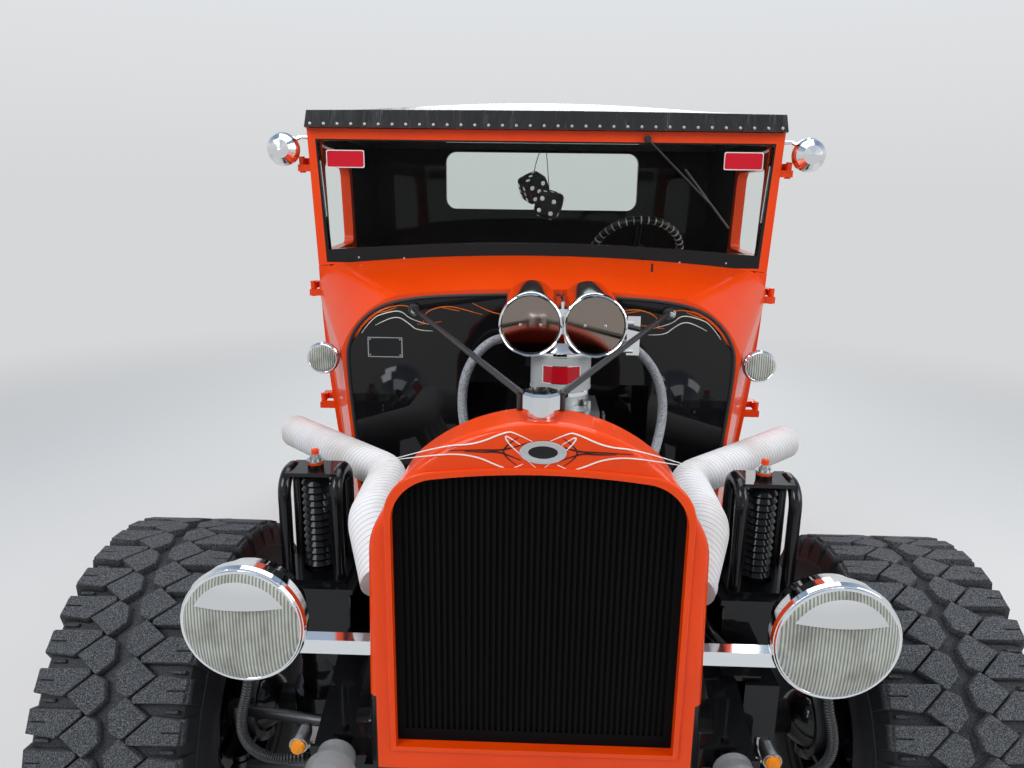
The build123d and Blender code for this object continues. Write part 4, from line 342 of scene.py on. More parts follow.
def give(thing, material):
    """Puts one material on a whole piece."""
    thing.data.materials.clear()
    thing.data.materials.append(material)


for name, node in nodes.items():
    give(node, finish_of[slot_of[name]])
print("dressed", len(nodes), "nodes")

# %% [markdown]
# ## How the new pieces are modelled
# Each new piece starts as a primitive at its size and place and is then shaped. Everything is
# deselected first, because an operator acts on all that is selected. A round piece, such as a
# lamp, is made as on a lathe: one vertex is extruded along the outline of half the piece, and
# that line is spun once round the axis. At the end a piece gets its place applied, so that its
# object sits at the origin as the loaded nodes do.

# %% Selecting and joining
def pick(piece):
    """Makes one piece the only selected one, and the active one."""
    bpy.ops.object.select_all(action="DESELECT")
    piece.select_set(True)
    bpy.context.view_layer.objects.active = piece


def begin(kind, name, **settings):
    """Deselects everything and adds one primitive mesh under a name."""
    bpy.ops.object.select_all(action="DESELECT")
    getattr(bpy.ops.mesh, f"primitive_{kind}_add")(**settings)
    bpy.context.object.name = name
    return bpy.context.object


def choose(kind, test):
    """In edit mode, selects only the faces, edges or vertices that pass a test."""
    bpy.ops.mesh.select_mode(type={"verts": "VERT", "edges": "EDGE", "faces": "FACE"}[kind])
    bpy.ops.mesh.select_all(action="DESELECT")
    cage = bmesh.from_edit_mesh(bpy.context.object.data)
    for item in getattr(cage, kind):
        if test(item):
            item.select_set(True)
    cage.select_flush_mode()
    bmesh.update_edit_mesh(bpy.context.object.data)


@contextmanager
def editing():
    """Edit mode on the active piece, with all of its mesh selected."""
    bpy.ops.object.mode_set(mode="EDIT")
    bpy.ops.mesh.select_all(action="SELECT")
    yield
    bpy.ops.object.mode_set(mode="OBJECT")


def join(name, *things):
    """Joins several mesh objects into the first one."""
    pick(things[0])
    for thing in things:
        thing.select_set(True)
    bpy.ops.object.join()
    bpy.context.object.name = name
    return bpy.context.object


# %% Applying places and modifiers
SMOOTH_ANGLE = radians(30)
SHARP_ANGLE = radians(40)


def fix_place(piece):
    """Applies a piece's place, turn and size, so that they lie in its mesh."""
    pick(piece)
    bpy.ops.object.transform_apply(location=True, rotation=True, scale=True)


def apply_new(piece, kind, **settings):
    """Adds a modifier with its settings and applies it."""
    made = piece.modifiers.new(kind.lower(), kind)
    for name, value in settings.items():
        setattr(made, name, value)
    pick(piece)
    bpy.ops.object.modifier_apply(modifier=made.name)


def soften(piece, width, segments=2):
    """Rounds the sharp edges by a bevel of this width."""
    apply_new(
        piece, "BEVEL", width=width, segments=segments, limit_method="ANGLE",
        angle_limit=SHARP_ANGLE,
    )


def dress(piece, material, stands_for=(), body="root"):
    """Gives the finish and fixes the piece to its body."""
    give(piece, material)
    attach(piece, body)
    if stands_for:
        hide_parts(*stands_for)


def settle(piece, material, stands_for=(), body="root"):
    """Applies the place, shades the round faces smooth and dresses the piece."""
    fix_place(piece)
    bpy.ops.object.shade_smooth_by_angle(angle=SMOOTH_ANGLE)
    dress(piece, material, stands_for, body)
    print(piece.name, len(piece.data.polygons), "faces")


# %% Blocks, turned pieces and lines
MERGE_REACH = 0.00002


def slab(name, place, size, lean=0):
    """A block at a place, leant about the x axis by some degrees."""
    piece = begin("cube", name, size=1, location=place)
    piece.scale = size
    piece.rotation_euler = (radians(lean), 0, 0)
    fix_place(piece)
    return piece


@contextmanager
def drawn(name, spots):
    """Edit mode on a line of vertices through the spots, all selected."""
    piece = begin("plane", name, size=0.001, location=(0, 0, 0))
    with editing():
        bpy.ops.mesh.select_mode(type="VERT")
        bpy.ops.mesh.merge(type="CENTER")
        bpy.ops.transform.translate(value=spots[0])
        for before, after in zip(spots, spots[1:]):
            step = {"value": after - before}
            bpy.ops.mesh.extrude_vertices_move(TRANSFORM_OT_translate=step)
        bpy.ops.mesh.select_all(action="SELECT")
        yield piece


def turned(name, outline, centre, steps=64, axis=(0, 1, 0)):
    """Spins an outline of (place along the axis, distance from it) points once round."""
    along = Vector(axis)
    side = Vector((1, 0, 0)) if along.z else Vector((0, 0, 1))
    spots = [Vector(centre) + along * a + side * r for a, r in outline]
    with drawn(name, spots) as piece:
        bpy.ops.mesh.spin(steps=steps, angle=2 * pi, center=centre, axis=along)
        bpy.ops.mesh.select_all(action="SELECT")
        bpy.ops.mesh.remove_doubles(threshold=MERGE_REACH)
        bpy.ops.mesh.normals_make_consistent(inside=False)
    return piece


def turned_set(name, outline, centres, steps, material):
    """Turns one outline at each centre, and joins and settles what it made."""
    pieces = [turned(name, outline, centre, steps) for centre in centres]
    settle(join(name, *pieces), material)


def curve_line(name, points, thickness, widths=None, ring=5, steps=12):
    """A curve object: one open smooth line through the given points, with a round section."""
    line = bpy.data.curves.new(name, "CURVE")
    line.dimensions, line.bevel_depth, line.use_fill_caps = "3D", thickness / 2, True
    line.bevel_resolution, line.resolution_u = ring, steps
    spline = line.splines.new("NURBS")
    spline.points.add(len(points) - 1)
    for place, (control, point) in enumerate(zip(spline.points, points)):
        control.co = (*point, 1)
        control.radius = widths[place] if widths else 1
    spline.order_u, spline.use_endpoint_u = 3, True
    made = bpy.data.objects.new(name, line)
    bpy.context.scene.collection.objects.link(made)
    return made


def rod(name, points, thickness, widths=None):
    """A round rod along a smooth line, as a mesh."""
    pick(curve_line(name, points, thickness, widths, ring=3, steps=8))
    bpy.ops.object.convert(target="MESH")
    return bpy.context.object


# %% [markdown]
# ## Tyres
# These are wide off-road tyres with deep blocks. The pattern repeats every ten degrees: two
# shoulder lugs and two five-sided blocks, turned half a turn against each other. One step of it
# is modelled at the top of the tyre, and spin, with its duplicate setting, sets 36 of them round
# the axle. Each block starts as a line of vertices drawn along its outline, which is filled and
# extruded, because its shape is seen from above. The carcass is turned as on a lathe.

# %% The tyre's blocks
TYRE_STEPS = 36
BLOCK_TOP_SHARE = 0.93
SLOT_SIZE = (0.036, 0.0026, 0.018)
ROUND_SHIFT = 0.020


def tread_block(outline, top, tall, lean=0, slot_at=None):
    """One block of rubber over an outline of (across, along) points, its top at a radius."""
    middle_y = (max(y for u, y in outline) + min(y for u, y in outline)) / 2
    foot = TYRE_RADIUS + top - tall
    spots = [Vector((u, FRONT_AXLE + y - middle_y, foot)) for u, y in outline]
    middle = sum(spots, Vector()) / len(spots)
    with drawn("block", spots) as made:
        bpy.ops.mesh.edge_face_add()
        bpy.ops.mesh.extrude_region_move(TRANSFORM_OT_translate={"value": (0, 0, tall)})
        bpy.ops.transform.resize(value=(BLOCK_TOP_SHARE, BLOCK_TOP_SHARE, 1))
        bpy.ops.mesh.select_all(action="SELECT")
        bpy.ops.mesh.normals_make_consistent(inside=False)
        bpy.ops.transform.rotate(value=-radians(lean), orient_axis="Y", center_override=middle)
    if slot_at:
        slot_place = (slot_at[0], FRONT_AXLE + slot_at[1] - middle_y, 2 * TYRE_RADIUS)
        knife = slab("slot_cutter", slot_place, SLOT_SIZE)
        apply_new(made, "BOOLEAN", operation="DIFFERENCE", object=knife, solver="EXACT")
        bpy.data.objects.remove(knife)
    axle = Matrix.Translation((0, FRONT_AXLE, TYRE_RADIUS))
    turn = Matrix.Rotation(-middle_y / TYRE_RADIUS, 4, "X")
    made.matrix_world = axle @ turn @ axle.inverted()
    fix_place(made)
    return made


HALF_STEP = (  # outline across and along, radius of the top, height, lean, place of the slot
    (((0.147, 0.026), (0.144, -0.019), (0.043, -0.021), (0.041, -0.010), (0.088, 0.033)),
     0.4128, 0.034, 0, (0.127, 0.004)),
    (((0.082, 0.029), (0.036, -0.012), (0.011, 0.000), (0.003, 0.036), (0.032, 0.066)),
     0.4130, 0.026, 0, None),
    (((0.1570, 0.027), (0.1570, -0.019), (0.1450, -0.020), (0.1450, 0.028)),
     0.4050, 0.054, -10, None),
    (((0.132, -0.030), (0.132, -0.037), (0.104, -0.037), (0.104, -0.030)),
     0.4010, 0.010, 0, None),
    (((0.1580, 0.030), (0.1580, -0.038), (0.1520, -0.038), (0.1520, 0.030)),
     0.3560, 0.008, 0, None),
)
lumps = []
for hand, shift in ((1, 0), (-1, ROUND_SHIFT)):
    for outline, top, tall, lean, slot_at in HALF_STEP:
        spots = [(hand * u, hand * y + shift) for u, y in outline]
        if slot_at:
            slot_at = (hand * slot_at[0], hand * slot_at[1] + shift)
        lumps.append(tread_block(spots, top, tall, hand * lean, slot_at))
tread = join("tread", *lumps)
soften(tread, 0.0012, 1)


def ring_of(count, centre, axis):
    """In object mode, repeats the active piece evenly round an axis."""
    with editing():
        bpy.ops.mesh.spin(
            steps=count - 1, angle=2 * pi * (count - 1) / count, dupli=True, center=centre,
            axis=axis,
        )


ring_of(TYRE_STEPS, (0, FRONT_AXLE, TYRE_RADIUS), (1, 0, 0))
print("tread faces", len(tread.data.polygons))

# %% The tyre's carcass, and the four tyres
HUB_X = 0.792
BEAD_SEAT = 0.1956
WALL = (  # across, distance from the axle: from the bead out to the middle of the tread
    (0.1262, BEAD_SEAT), (0.1266, 0.2068), (0.1390, 0.2160), (0.1440, 0.2290), (0.1480, 0.2320),
    (0.1540, 0.2500), (0.1580, 0.2800), (0.1588, 0.3050), (0.1572, 0.3080), (0.1568, 0.3350),
    (0.1540, 0.3620), (0.1480, 0.3780), (0.1390, 0.3900), (0.1200, 0.3945), (0.0800, 0.3952),
    (0.0600, 0.3960), (0.0300, 0.3966), (0.0000, 0.3968),
)
outline = list(WALL) + [(-u, r) for u, r in reversed(WALL[:-1])] + [WALL[0]]
carcass = turned("carcass", outline, (0, FRONT_AXLE, TYRE_RADIUS), 108, (1, 0, 0))
first_tyre = join("first_tyre", carcass, tread)
for end, end_y in (("front", 0.0), ("rear", -2 * FRONT_AXLE)):
    for side, hand in SIDES:
        pick(first_tyre)
        bpy.ops.object.duplicate()
        tyre = bpy.context.object
        tyre.name = f"tyre_tread_{end}_{side}"
        tyre.rotation_euler = (0, 0, 0 if hand > 0 else pi)
        tyre.location = (hand * HUB_X, (0 if hand > 0 else 2 * FRONT_AXLE) + end_y, 0)
        settle(tyre, tyre_rubbers[end], (f"tyre_{end}_{side}",), f"wheel_{end}_{side}")
bpy.data.objects.remove(first_tyre)
print("tyre triangles", sum(len(p.vertices) - 2 for p in tyre.data.polygons))

# %% [markdown]
# ## The radiator's face
# The shell is one pressing, so its node keeps its shape. What it lacks is painted work: fine
# hand-drawn lines that run out to points, each a bead of paint about 2 mm wide. Each line is
# a thin rod that narrows at its ends and lies half sunk in the paint. The small oval plate on
# the arch is left bare, with a raised rim.

# %% Painted lines
LINE_END = 0.25
LINE_START, LINE_SPAN = 0.06, 0.88
white_line_paint = enamel("white_line_paint", "f3efe8", "e2ddd5", 0.00001)
black_line_paint = enamel("black_line_paint", "141414", "0c0c0c", 0.00001)
orange_line_paint = enamel("orange_line_paint", "f07a1c", "dd6610", 0.00001)


def painted_lines(name, rows, face_y, paint, width):
    """Mirrored hand-drawn lines, each widest in the middle and pointed at both ends."""
    lines = []
    for hand in (1, -1):
        for row in rows:
            shares = [LINE_START + LINE_SPAN * place / (len(row) - 1) for place in range(len(row))]
            widths = [LINE_END + (1 - LINE_END) * sin(pi * share) for share in shares]
            lines.append(rod("stroke", [(hand * x, face_y, z) for x, z in row], width, widths))
    settle(join(name, *lines), paint)


# %% Lines on the radiator shell
SHELL_FACE = -1.717
SHELL_LINE_Y = SHELL_FACE - 0.0002
SHELL_LINE_WIDTH = 0.0026
WHITE_LINES = (  # (x, z) on the shell's face, one side; the other side mirrors them
    ((0.012, 1.212), (0.040, 1.226), (0.052, 1.227), (0.100, 1.205), (0.150, 1.203),
     (0.235, 1.176)),
    ((0.026, 1.176), (0.044, 1.166), (0.060, 1.170), (0.100, 1.188), (0.150, 1.190),
     (0.235, 1.176)),
    ((0.006, 1.170), (0.040, 1.199), (0.054, 1.216), (0.052, 1.222), (0.030, 1.206)),
)
BLACK_LINES = (
    ((0.020, 1.210), (0.045, 1.200), (0.066, 1.197), (0.090, 1.197), (0.140, 1.195)),
    ((0.030, 1.182), (0.050, 1.190), (0.066, 1.195), (0.088, 1.193), (0.115, 1.194)),
    ((0.034, 1.218), (0.050, 1.208), (0.060, 1.190), (0.036, 1.174)),
)
painted_lines("shell_white_lines", WHITE_LINES, SHELL_LINE_Y, white_line_paint, SHELL_LINE_WIDTH)
painted_lines("shell_black_lines", BLACK_LINES, SHELL_LINE_Y, black_line_paint, SHELL_LINE_WIDTH)


# %% The bare oval plate
def inset_front(*steps):
    """In object mode, insets the active piece's front by (margin, push along y) steps."""
    with editing():
        choose("faces", lambda face: face.normal.y < -0.9)
        for margin, push in steps:
            bpy.ops.mesh.inset(thickness=margin)
            bpy.ops.transform.translate(value=(0, push, 0))


PLATE_X, PLATE_Z = 0.004, 1.196
plate = begin("cylinder", "shell_plate", vertices=64, radius=1, depth=1,
              location=(PLATE_X, SHELL_FACE, PLATE_Z), rotation=(radians(90), 0, 0))
plate.scale = (0.036, 0.0185, 0.007)
fix_place(plate)
inset_front((0.0022, 0.0012), (0.0020, -0.0006))
soften(plate, 0.0004)
settle(plate, polished_steel)
field = begin("uv_sphere", "shell_plate_field", segments=48, ring_count=12, radius=1,
              location=(PLATE_X, SHELL_FACE - 0.0018, PLATE_Z))
field.scale = (0.0315, 0.0016, 0.0140)
fix_place(field)
with editing():
    choose("faces", lambda face: face.normal.y > 0.3)
    bpy.ops.mesh.delete(type="FACE")
    choose("edges", lambda edge: edge.is_boundary)
    bpy.ops.mesh.edge_face_add()
settle(field, black_enamel)

# %% [markdown]
# ## Headlamps
# A headlamp is a polished bowl closed by a pressed glass lens, and behind the glass a silvered
# dish catches the light. Upright flutes on the inside of the glass spread the beam sideways.
# The lens is turned as on a lathe. Its flutes are a wave in the material, 5.5 mm apart, with
# painted light on each crest and painted shade in each trough, and slow patches of grey and
# white are a painted reflection of the dish.

# %% Fluted lens glass
FLUTE_PITCH = 0.0055
WAVE_UNIT = 3.14159 / 10  # the distance after which a wave texture of scale 1 repeats
fluted_glass, tree, shader = start_material("fluted_glass", {
    "Base Color": colour("e4e7df"), "Roughness": 0.06, "Transmission Weight": 0.35,
    "Coat Weight": 0.6, "Coat Roughness": 0.02, "IOR": 1.45,
})
own = add_node(tree, "TexCoord", {}, "Object")
flute_scale = {"Vector": own, "Scale": (1 / (FLUTE_PITCH * 20), 0.4, 0.4)}
flutes = add_node(
    tree, "TexWave",
    {"Vector": add_node(tree, "Mapping", flute_scale), "Scale": 2 / WAVE_UNIT,
     "Distortion": 1.2, "Detail": 1.0},
    "Fac", wave_type="BANDS", bands_direction="X",
)
# Painted light and shade: each flute's crest is lighter and its trough darker.
flute_shade_tones = ((0.0, "8f9388"), (0.5, "d3d6cc"), (1.0, "f4f5ee"))
flute_shade = add_node(tree, "ValToRGB", {"Fac": flutes}, stops=flute_shade_tones)
# Painted reflection: slow grey and white patches stand for the silvered dish behind the glass.
low_wide = add_node(tree, "Mapping", {"Vector": own, "Scale": (1, 1, 0.7)})
dish_reflection_patches = add_node(tree, "TexNoise", {"Vector": low_wide, "Scale": 24.0, "Detail": 2.0})
dish_reflection_tones = ((0.3, "6f6a58"), (0.45, "c9c9bd"), (0.6, "f2f3ee"), (0.72, "b9c3cf"))
dish_reflection = add_node(tree, "ValToRGB", {"Fac": dish_reflection_patches}, stops=dish_reflection_tones)
lens_tone = add_node(
    tree, "Mix", {0: 0.55, 6: flute_shade, 7: dish_reflection}, 2, data_type="RGBA",
    blend_type="MULTIPLY",
)
flute_bump = add_node(tree, "Bump", {"Height": flutes, "Distance": 0.0012})
feed(shader, {"Base Color": lens_tone, "Normal": flute_bump})

# %% Lenses and their rings on the headlamps and the cowl lamps
DOME_STEPS = 8
LENS_EDGE = 0.002
RIM_SHARE, RIM_PUSH = 0.5, 0.4
LENS_ROWS = (  # name, x, z, radius, back y, crown y
    ("headlamp", 0.476, 0.892, 0.0950, -1.7284, -1.7440),
    ("cowl_lamp", 0.537, 1.172, 0.0335, -0.9795, -0.9862),
)
RING_ROWS = (  # name, x, z, radius, y, thickness
    ("headlamp", 0.476, 0.892, 0.0965, -1.7280, 0.0036),
    ("cowl_lamp", 0.537, 1.172, 0.0350, -0.9800, 0.0024),
)
for name, lamp_x, lamp_z, radius, back_y, crown_y in LENS_ROWS:
    edge_y = back_y - LENS_EDGE
    dome = [(back_y, 0), (back_y, radius), (edge_y, radius)]
    for step in range(1, DOME_STEPS):
        turn_by = radians(90) * step / DOME_STEPS
        dome.append((edge_y - (edge_y - crown_y) * sin(turn_by), radius * cos(turn_by)))
    dome.append((crown_y, 0))
    lenses = [turned("lens", dome, (hand * lamp_x, 0, lamp_z)) for side, hand in SIDES]
    stands_for = ("headlamp_lenses",) if name == "headlamp" else ()
    settle(join(f"{name}_glass", *lenses), fluted_glass, stands_for)
for name, lamp_x, lamp_z, radius, ring_y, thick in RING_ROWS:
    rings = []
    for side, hand in SIDES:
        rings.append(begin(
            "torus", "ring", major_radius=radius, minor_radius=thick, major_segments=64,
            minor_segments=10, location=(hand * lamp_x, ring_y, lamp_z),
            rotation=(radians(90), 0, 0),
        ))
        with editing():
            rim = radius + thick * RIM_SHARE
            choose("verts", lambda vert: hypot(vert.co.x, vert.co.y) > rim)
            bpy.ops.transform.translate(value=(0, thick * RIM_PUSH, 0))
    settle(join(f"{name}_rings", *rings), chrome_plate)

# %% [markdown]
# ## Parts in two finishes
# Some nodes carry more than one finish: a damper is orange below and a black rubber boot above,
# and the cab is orange outside and black inside. Their meshes stay as they are, so the finish is
# chosen in the material by place, from the piece's own coordinates in metres. A box of space
# holds each second finish. On the cab and the doors the box ends in the middle of the curved
# side wall, and on the windscreen's frame it narrows with the frame.

# %% Zones and the places they are measured in
FAR = 3.0
BOX_EDGE = 0.00005
POST_PLACE = -0.070
FRONT_TAPER = 0.113
INWARD_LOOK = -0.8
WALL_LINES = ((0.588, 0.66, 0.15), (0.636, 0.98, 0.075), (0.660, 1.30, 0.03))
SCREEN_TAPER, SCREEN_TOP = 0.09, 1.704


def inside_box(tree, place, low, high):
    """A factor of 1 inside a box between two corners and 0 outside it."""
    held = add_node(tree, "VectorMath", (low, place), operation="MAXIMUM")
    held = add_node(tree, "VectorMath", (high, held), operation="MINIMUM")
    gap = add_node(tree, "VectorMath", (held, place), "Value", operation="DISTANCE")
    return add_node(tree, "Math", (gap, BOX_EDGE), operation="LESS_THAN")


def past_wall(tree, place):
    """Swaps x for the distance outside the side wall's middle; inward faces count as inside."""
    x, y, z = add_node(tree, "SeparateXYZ", (place,), ALL)
    half_width = FAR
    for start, foot, slope in WALL_LINES:
        line = add_node(tree, "Math", (z, slope, start - slope * foot), operation="MULTIPLY_ADD")
        half_width = add_node(tree, "Math", (half_width, line), operation="MINIMUM")
    across = add_node(tree, "Math", (x,), operation="ABSOLUTE")
    outside = add_node(tree, "Math", (across, half_width), operation="SUBTRACT")
    ahead = add_node(tree, "Math", (POST_PLACE, y), operation="SUBTRACT")
    ahead = add_node(tree, "Math", (ahead, 0.0), operation="MAXIMUM")
    outside = add_node(tree, "Math", (ahead, FRONT_TAPER, outside), operation="MULTIPLY_ADD")
    looks = add_node(tree, "SeparateXYZ", (add_node(tree, "TexCoord", {}, "Normal"),))
    side = add_node(tree, "Math", (x,), operation="SIGN")
    outward = add_node(tree, "Math", (side, looks), operation="MULTIPLY")
    inward = add_node(tree, "Math", (outward, INWARD_LOOK), operation="LESS_THAN")
    outside = add_node(tree, "Math", (outside, inward), operation="SUBTRACT")
    return add_node(tree, "CombineXYZ", (outside, y, z))


def in_screen(tree, place):
    """Stretches x below the windscreen's top, so that its leaning sides stand upright."""
    x, y, z = add_node(tree, "SeparateXYZ", (place,), ALL)
    slope = (z, -SCREEN_TAPER, 1 + SCREEN_TAPER * SCREEN_TOP)
    wider = add_node(tree, "Math", slope, operation="MULTIPLY_ADD")
    wider = add_node(tree, "Math", (x, wider), operation="MULTIPLY")
    return add_node(tree, "CombineXYZ", (wider, y, z))


def zoned(name, base, boxes, measure=None):
    """A base finish with boxes of others; a finish is two tones, roughness and metal."""
    made, tree, shader = start_material(
        name, {"Specular IOR Level": 0.1, "Coat Weight": 0.4, "Coat Roughness": 0.03}
    )
    place = add_node(tree, "TexCoord", {}, "Object")
    cloud = add_node(tree, "TexNoise", {"Vector": place, "Scale": 7.0, "Detail": 4.0})
    if measure:
        place = measure(tree, place)
    code, other, rough, metallic = base
    tone = add_node(tree, "ValToRGB", {"Fac": cloud}, stops=((0.3, code), (0.7, other)))
    rough = add_node(tree, "MapRange", {"Value": cloud, "To Min": rough, "To Max": rough + 0.04})
    for low, high, (code, other, zone_rough, zone_metal) in boxes:
        share = inside_box(tree, place, low, high)
        zone_tone = add_node(tree, "ValToRGB", {"Fac": cloud}, stops=((0.3, code), (0.7, other)))
        tone = add_node(tree, "Mix", {0: share, 6: tone, 7: zone_tone}, 2, data_type="RGBA")
        rough = add_node(tree, "Mix", {0: share, 2: rough, 3: zone_rough})
        metallic = add_node(tree, "Mix", {0: share, 2: metallic, 3: zone_metal})
    grain = add_node(tree, "TexNoise", {"Vector": place, "Scale": 400.0, "Detail": 2.0})
    feed(shader, {
        "Base Color": tone, "Roughness": rough, "Metallic": metallic,
        "Normal": add_node(tree, "Bump", {"Height": grain, "Distance": 0.00003}),
    })
    return made


# %% The nodes in two finishes
ORANGE = ("ee4600", "e54000", 0.4, 0)
TRIM_BLACK = ("08080a", "101012", 0.55, 0)
BOOT_BLACK = ("0d0d0f", "17181a", 0.5, 0)
BRIGHT_ZINC = ("b4b6b4", "9d9f9d", 0.3, 1)
AMBER = ("f39a1c", "e87f08", 0.2, 0)
TWO_FINISHES = (  # nodes, the material's name, its base, its zones, how places are measured
    (("front_shocks",), "damper_enamel_and_boot", ORANGE, (
        ((-FAR, -FAR, 0.735), (FAR, FAR, 1.004), BOOT_BLACK),
        ((-FAR, -FAR, 1.010), (FAR, FAR, 1.026), BRIGHT_ZINC),
    ), None),
    (("cab",), "cab_enamel_and_trim", ORANGE, (
        ((-FAR, -0.60, 0.68), (0, 0.3165, 1.80), TRIM_BLACK),
    ), past_wall),
    (("door_left", "door_right"), "door_enamel_and_trim", ORANGE, (
        ((-FAR, -0.62, 0.60), (0, FAR, 1.27), TRIM_BLACK),
    ), past_wall),
    (("windscreen_frame",), "screen_enamel_and_seal", ORANGE, (
        ((-0.606, -0.80, 1.384), (0.606, -0.60, 1.4185), TRIM_BLACK),
        ((-0.606, -0.80, 1.4100), (0.606, -0.60, 1.7080), TRIM_BLACK),
    ), in_screen),
    (("radiator_shell",), "shell_enamel_and_feet", ORANGE, (
        ((-FAR, -FAR, 0.60), (-0.2640, FAR, 0.76), TRIM_BLACK),
        ((0.2640, -FAR, 0.60), (FAR, FAR, 0.76), TRIM_BLACK),
    ), None),
    (("indicators",), "indicator_lens_and_ring", BRIGHT_ZINC, (
        ((-FAR, -1.7185, 0.60), (FAR, -1.7090, 0.70), AMBER),
    ), None),
)
for names, label, base, boxes, measure in TWO_FINISHES:
    finish = zoned(label, base, boxes, measure)
    for name in names:
        give(nodes[name], finish)

# %% [markdown]
# ## The air scoop
# Two polished barrels carry a throttle plate each. A plate is a thin disc on a shaft, held by
# two screws, and it mirrors the car and the ground in front of it; its metal is coloured darker
# and browner than the barrels as a painted reflection of them. The scoop's neck wears a sleeve
# in satin grey with a bare red plate on its front.

# %% Throttle plates, their screws and the barrels' mouths
ENGINE_X = 0.045
BARREL_Z = 1.312
BARREL_CENTRES = [(ENGINE_X + spread, 0, BARREL_Z) for spread in (-0.067, 0.067)]
# Painted reflection: the plates' metal is darker and browner than the barrels, standing for the
# car and ground they mirror.
painted_reflection_metal = metal("painted_reflection_metal", "8f857c", 0.04, 0.12, 14.0)
turned_set("throttle_plates", (
    (-1.2495, 0), (-1.2495, 0.0596), (-1.2502, 0.0602), (-1.2509, 0.0602), (-1.2516, 0.0594),
    (-1.2522, 0.0400), (-1.2526, 0.0),
), BARREL_CENTRES, 72, painted_reflection_metal)
turned_set("throttle_screws", (
    (-1.2522, 0), (-1.2522, 0.0032), (-1.2536, 0.0030), (-1.2544, 0.0020), (-1.2547, 0),
), [(x + place, y, z) for x, y, z in BARREL_CENTRES for place in (-0.021, 0.021)], 12,
    zinc_plate)
turned_set("barrel_mouths", (
    (-1.2255, 0.0660), (-1.2560, 0.0660), (-1.2600, 0.0655), (-1.2612, 0.0638),
    (-1.2600, 0.0620), (-1.2560, 0.0612), (-1.2300, 0.0606), (-1.2255, 0.0606),
    (-1.2255, 0.0660),
), BARREL_CENTRES, 96, chrome_plate)

# %% The funnel between the barrels, and the sleeve on the neck
NECK = Vector((ENGINE_X, -1.195, 0))
satin_grey_paint = enamel("satin_grey_paint", "b4b6b6", "a8aaaa", 0.00002, coat=0.2)
FUNNEL = (  # height, radius
    (1.2440, 0.0600), (1.2440, 0.0640), (1.2500, 0.0635), (1.2600, 0.0600), (1.2720, 0.0545),
    (1.2850, 0.0490), (1.3000, 0.0450), (1.3120, 0.0430), (1.3120, 0.0400), (1.2440, 0.0600),
)
SLEEVE = (
    (1.1690, 0.0618), (1.1690, 0.0656), (1.1702, 0.0662), (1.1720, 0.0662), (1.1728, 0.0650),
    (1.2440, 0.0650), (1.2448, 0.0662), (1.2470, 0.0662), (1.2480, 0.0654), (1.2480, 0.0618),
    (1.1690, 0.0618),
)
settle(turned("scoop_funnel", FUNNEL, NECK, 96, (0, 0, 1)), polished_steel)
settle(turned("neck_sleeve", SLEEVE, NECK, 96, (0, 0, 1)), satin_grey_paint)


# %% Bare plate on the neck
BADGE_SHEET = 0.0006


def bent_plate(name, radius, low, high, half_width):
    """A thin plate that is bent round the front of the neck."""
    made = begin("cylinder", name, vertices=96, radius=radius, depth=high - low,
                 end_fill_type="NOTHING", location=(NECK.x, NECK.y, (low + high) / 2))
    with editing():
        for cut, clear_side in ((half_width, False), (-half_width, True)):
            bpy.ops.mesh.select_all(action="SELECT")
            bpy.ops.mesh.bisect(
                plane_co=(NECK.x + cut, 0, 0), plane_no=(1, 0, 0),
                clear_outer=not clear_side, clear_inner=clear_side,
            )
        choose("faces", lambda face: face.calc_center_median().y > 0)
        bpy.ops.mesh.delete(type="FACE")
    apply_new(made, "SOLIDIFY", thickness=BADGE_SHEET, offset=1)
    soften(made, 0.0004, 1)
    return made


badge_red_paint = enamel("badge_red_paint", "c00f22", "a80c1c", 0.00001)
rim_piece = bent_plate("neck_plate_rim", 0.0651, 1.1880, 1.2270, 0.0400)
settle(rim_piece, chrome_plate)
field_piece = bent_plate("neck_plate", 0.0656, 1.1898, 1.2252, 0.0382)
settle(field_piece, badge_red_paint)

# %% [markdown]
# ## Firewall and cowl
# The firewall is gloss black with two mirrored sets of hand-drawn lines, orange above white. A
# round black welt closes the joint between the firewall and the cowl's edge. A small data plate
# is riveted on, and its face is left bare.

# %% Lines on the firewall
FIREWALL_FACE = -0.9792
SCROLL_WIDTH = 0.0028
WHITE_SCROLLS = (
    ((-0.437, 1.238), (-0.410, 1.276), (-0.376, 1.289), (-0.338, 1.296), (-0.316, 1.272),
     (-0.270, 1.262)),
    ((-0.402, 1.258), (-0.372, 1.274), (-0.344, 1.280), (-0.318, 1.262), (-0.300, 1.246),
     (-0.262, 1.246)),
)
ORANGE_SCROLLS = (
    ((-0.452, 1.226), (-0.430, 1.266), (-0.392, 1.294), (-0.345, 1.309), (-0.312, 1.304),
     (-0.304, 1.290)),
    ((-0.408, 1.288), (-0.384, 1.290), (-0.366, 1.296), (-0.350, 1.302)),
    ((-0.284, 1.262), (-0.286, 1.284), (-0.262, 1.301), (-0.222, 1.309), (-0.170, 1.296),
     (-0.140, 1.288)),
    ((-0.240, 1.304), (-0.216, 1.300), (-0.196, 1.296)),
    ((-0.165, 1.316), (-0.130, 1.298), (-0.090, 1.288), (-0.050, 1.287)),
    ((-0.300, 1.262), (-0.270, 1.264), (-0.240, 1.270)),
)
painted_lines(
    "firewall_white_lines", WHITE_SCROLLS, FIREWALL_FACE, white_line_paint, SCROLL_WIDTH
)
painted_lines(
    "firewall_orange_lines", ORANGE_SCROLLS, FIREWALL_FACE, orange_line_paint, SCROLL_WIDTH
)

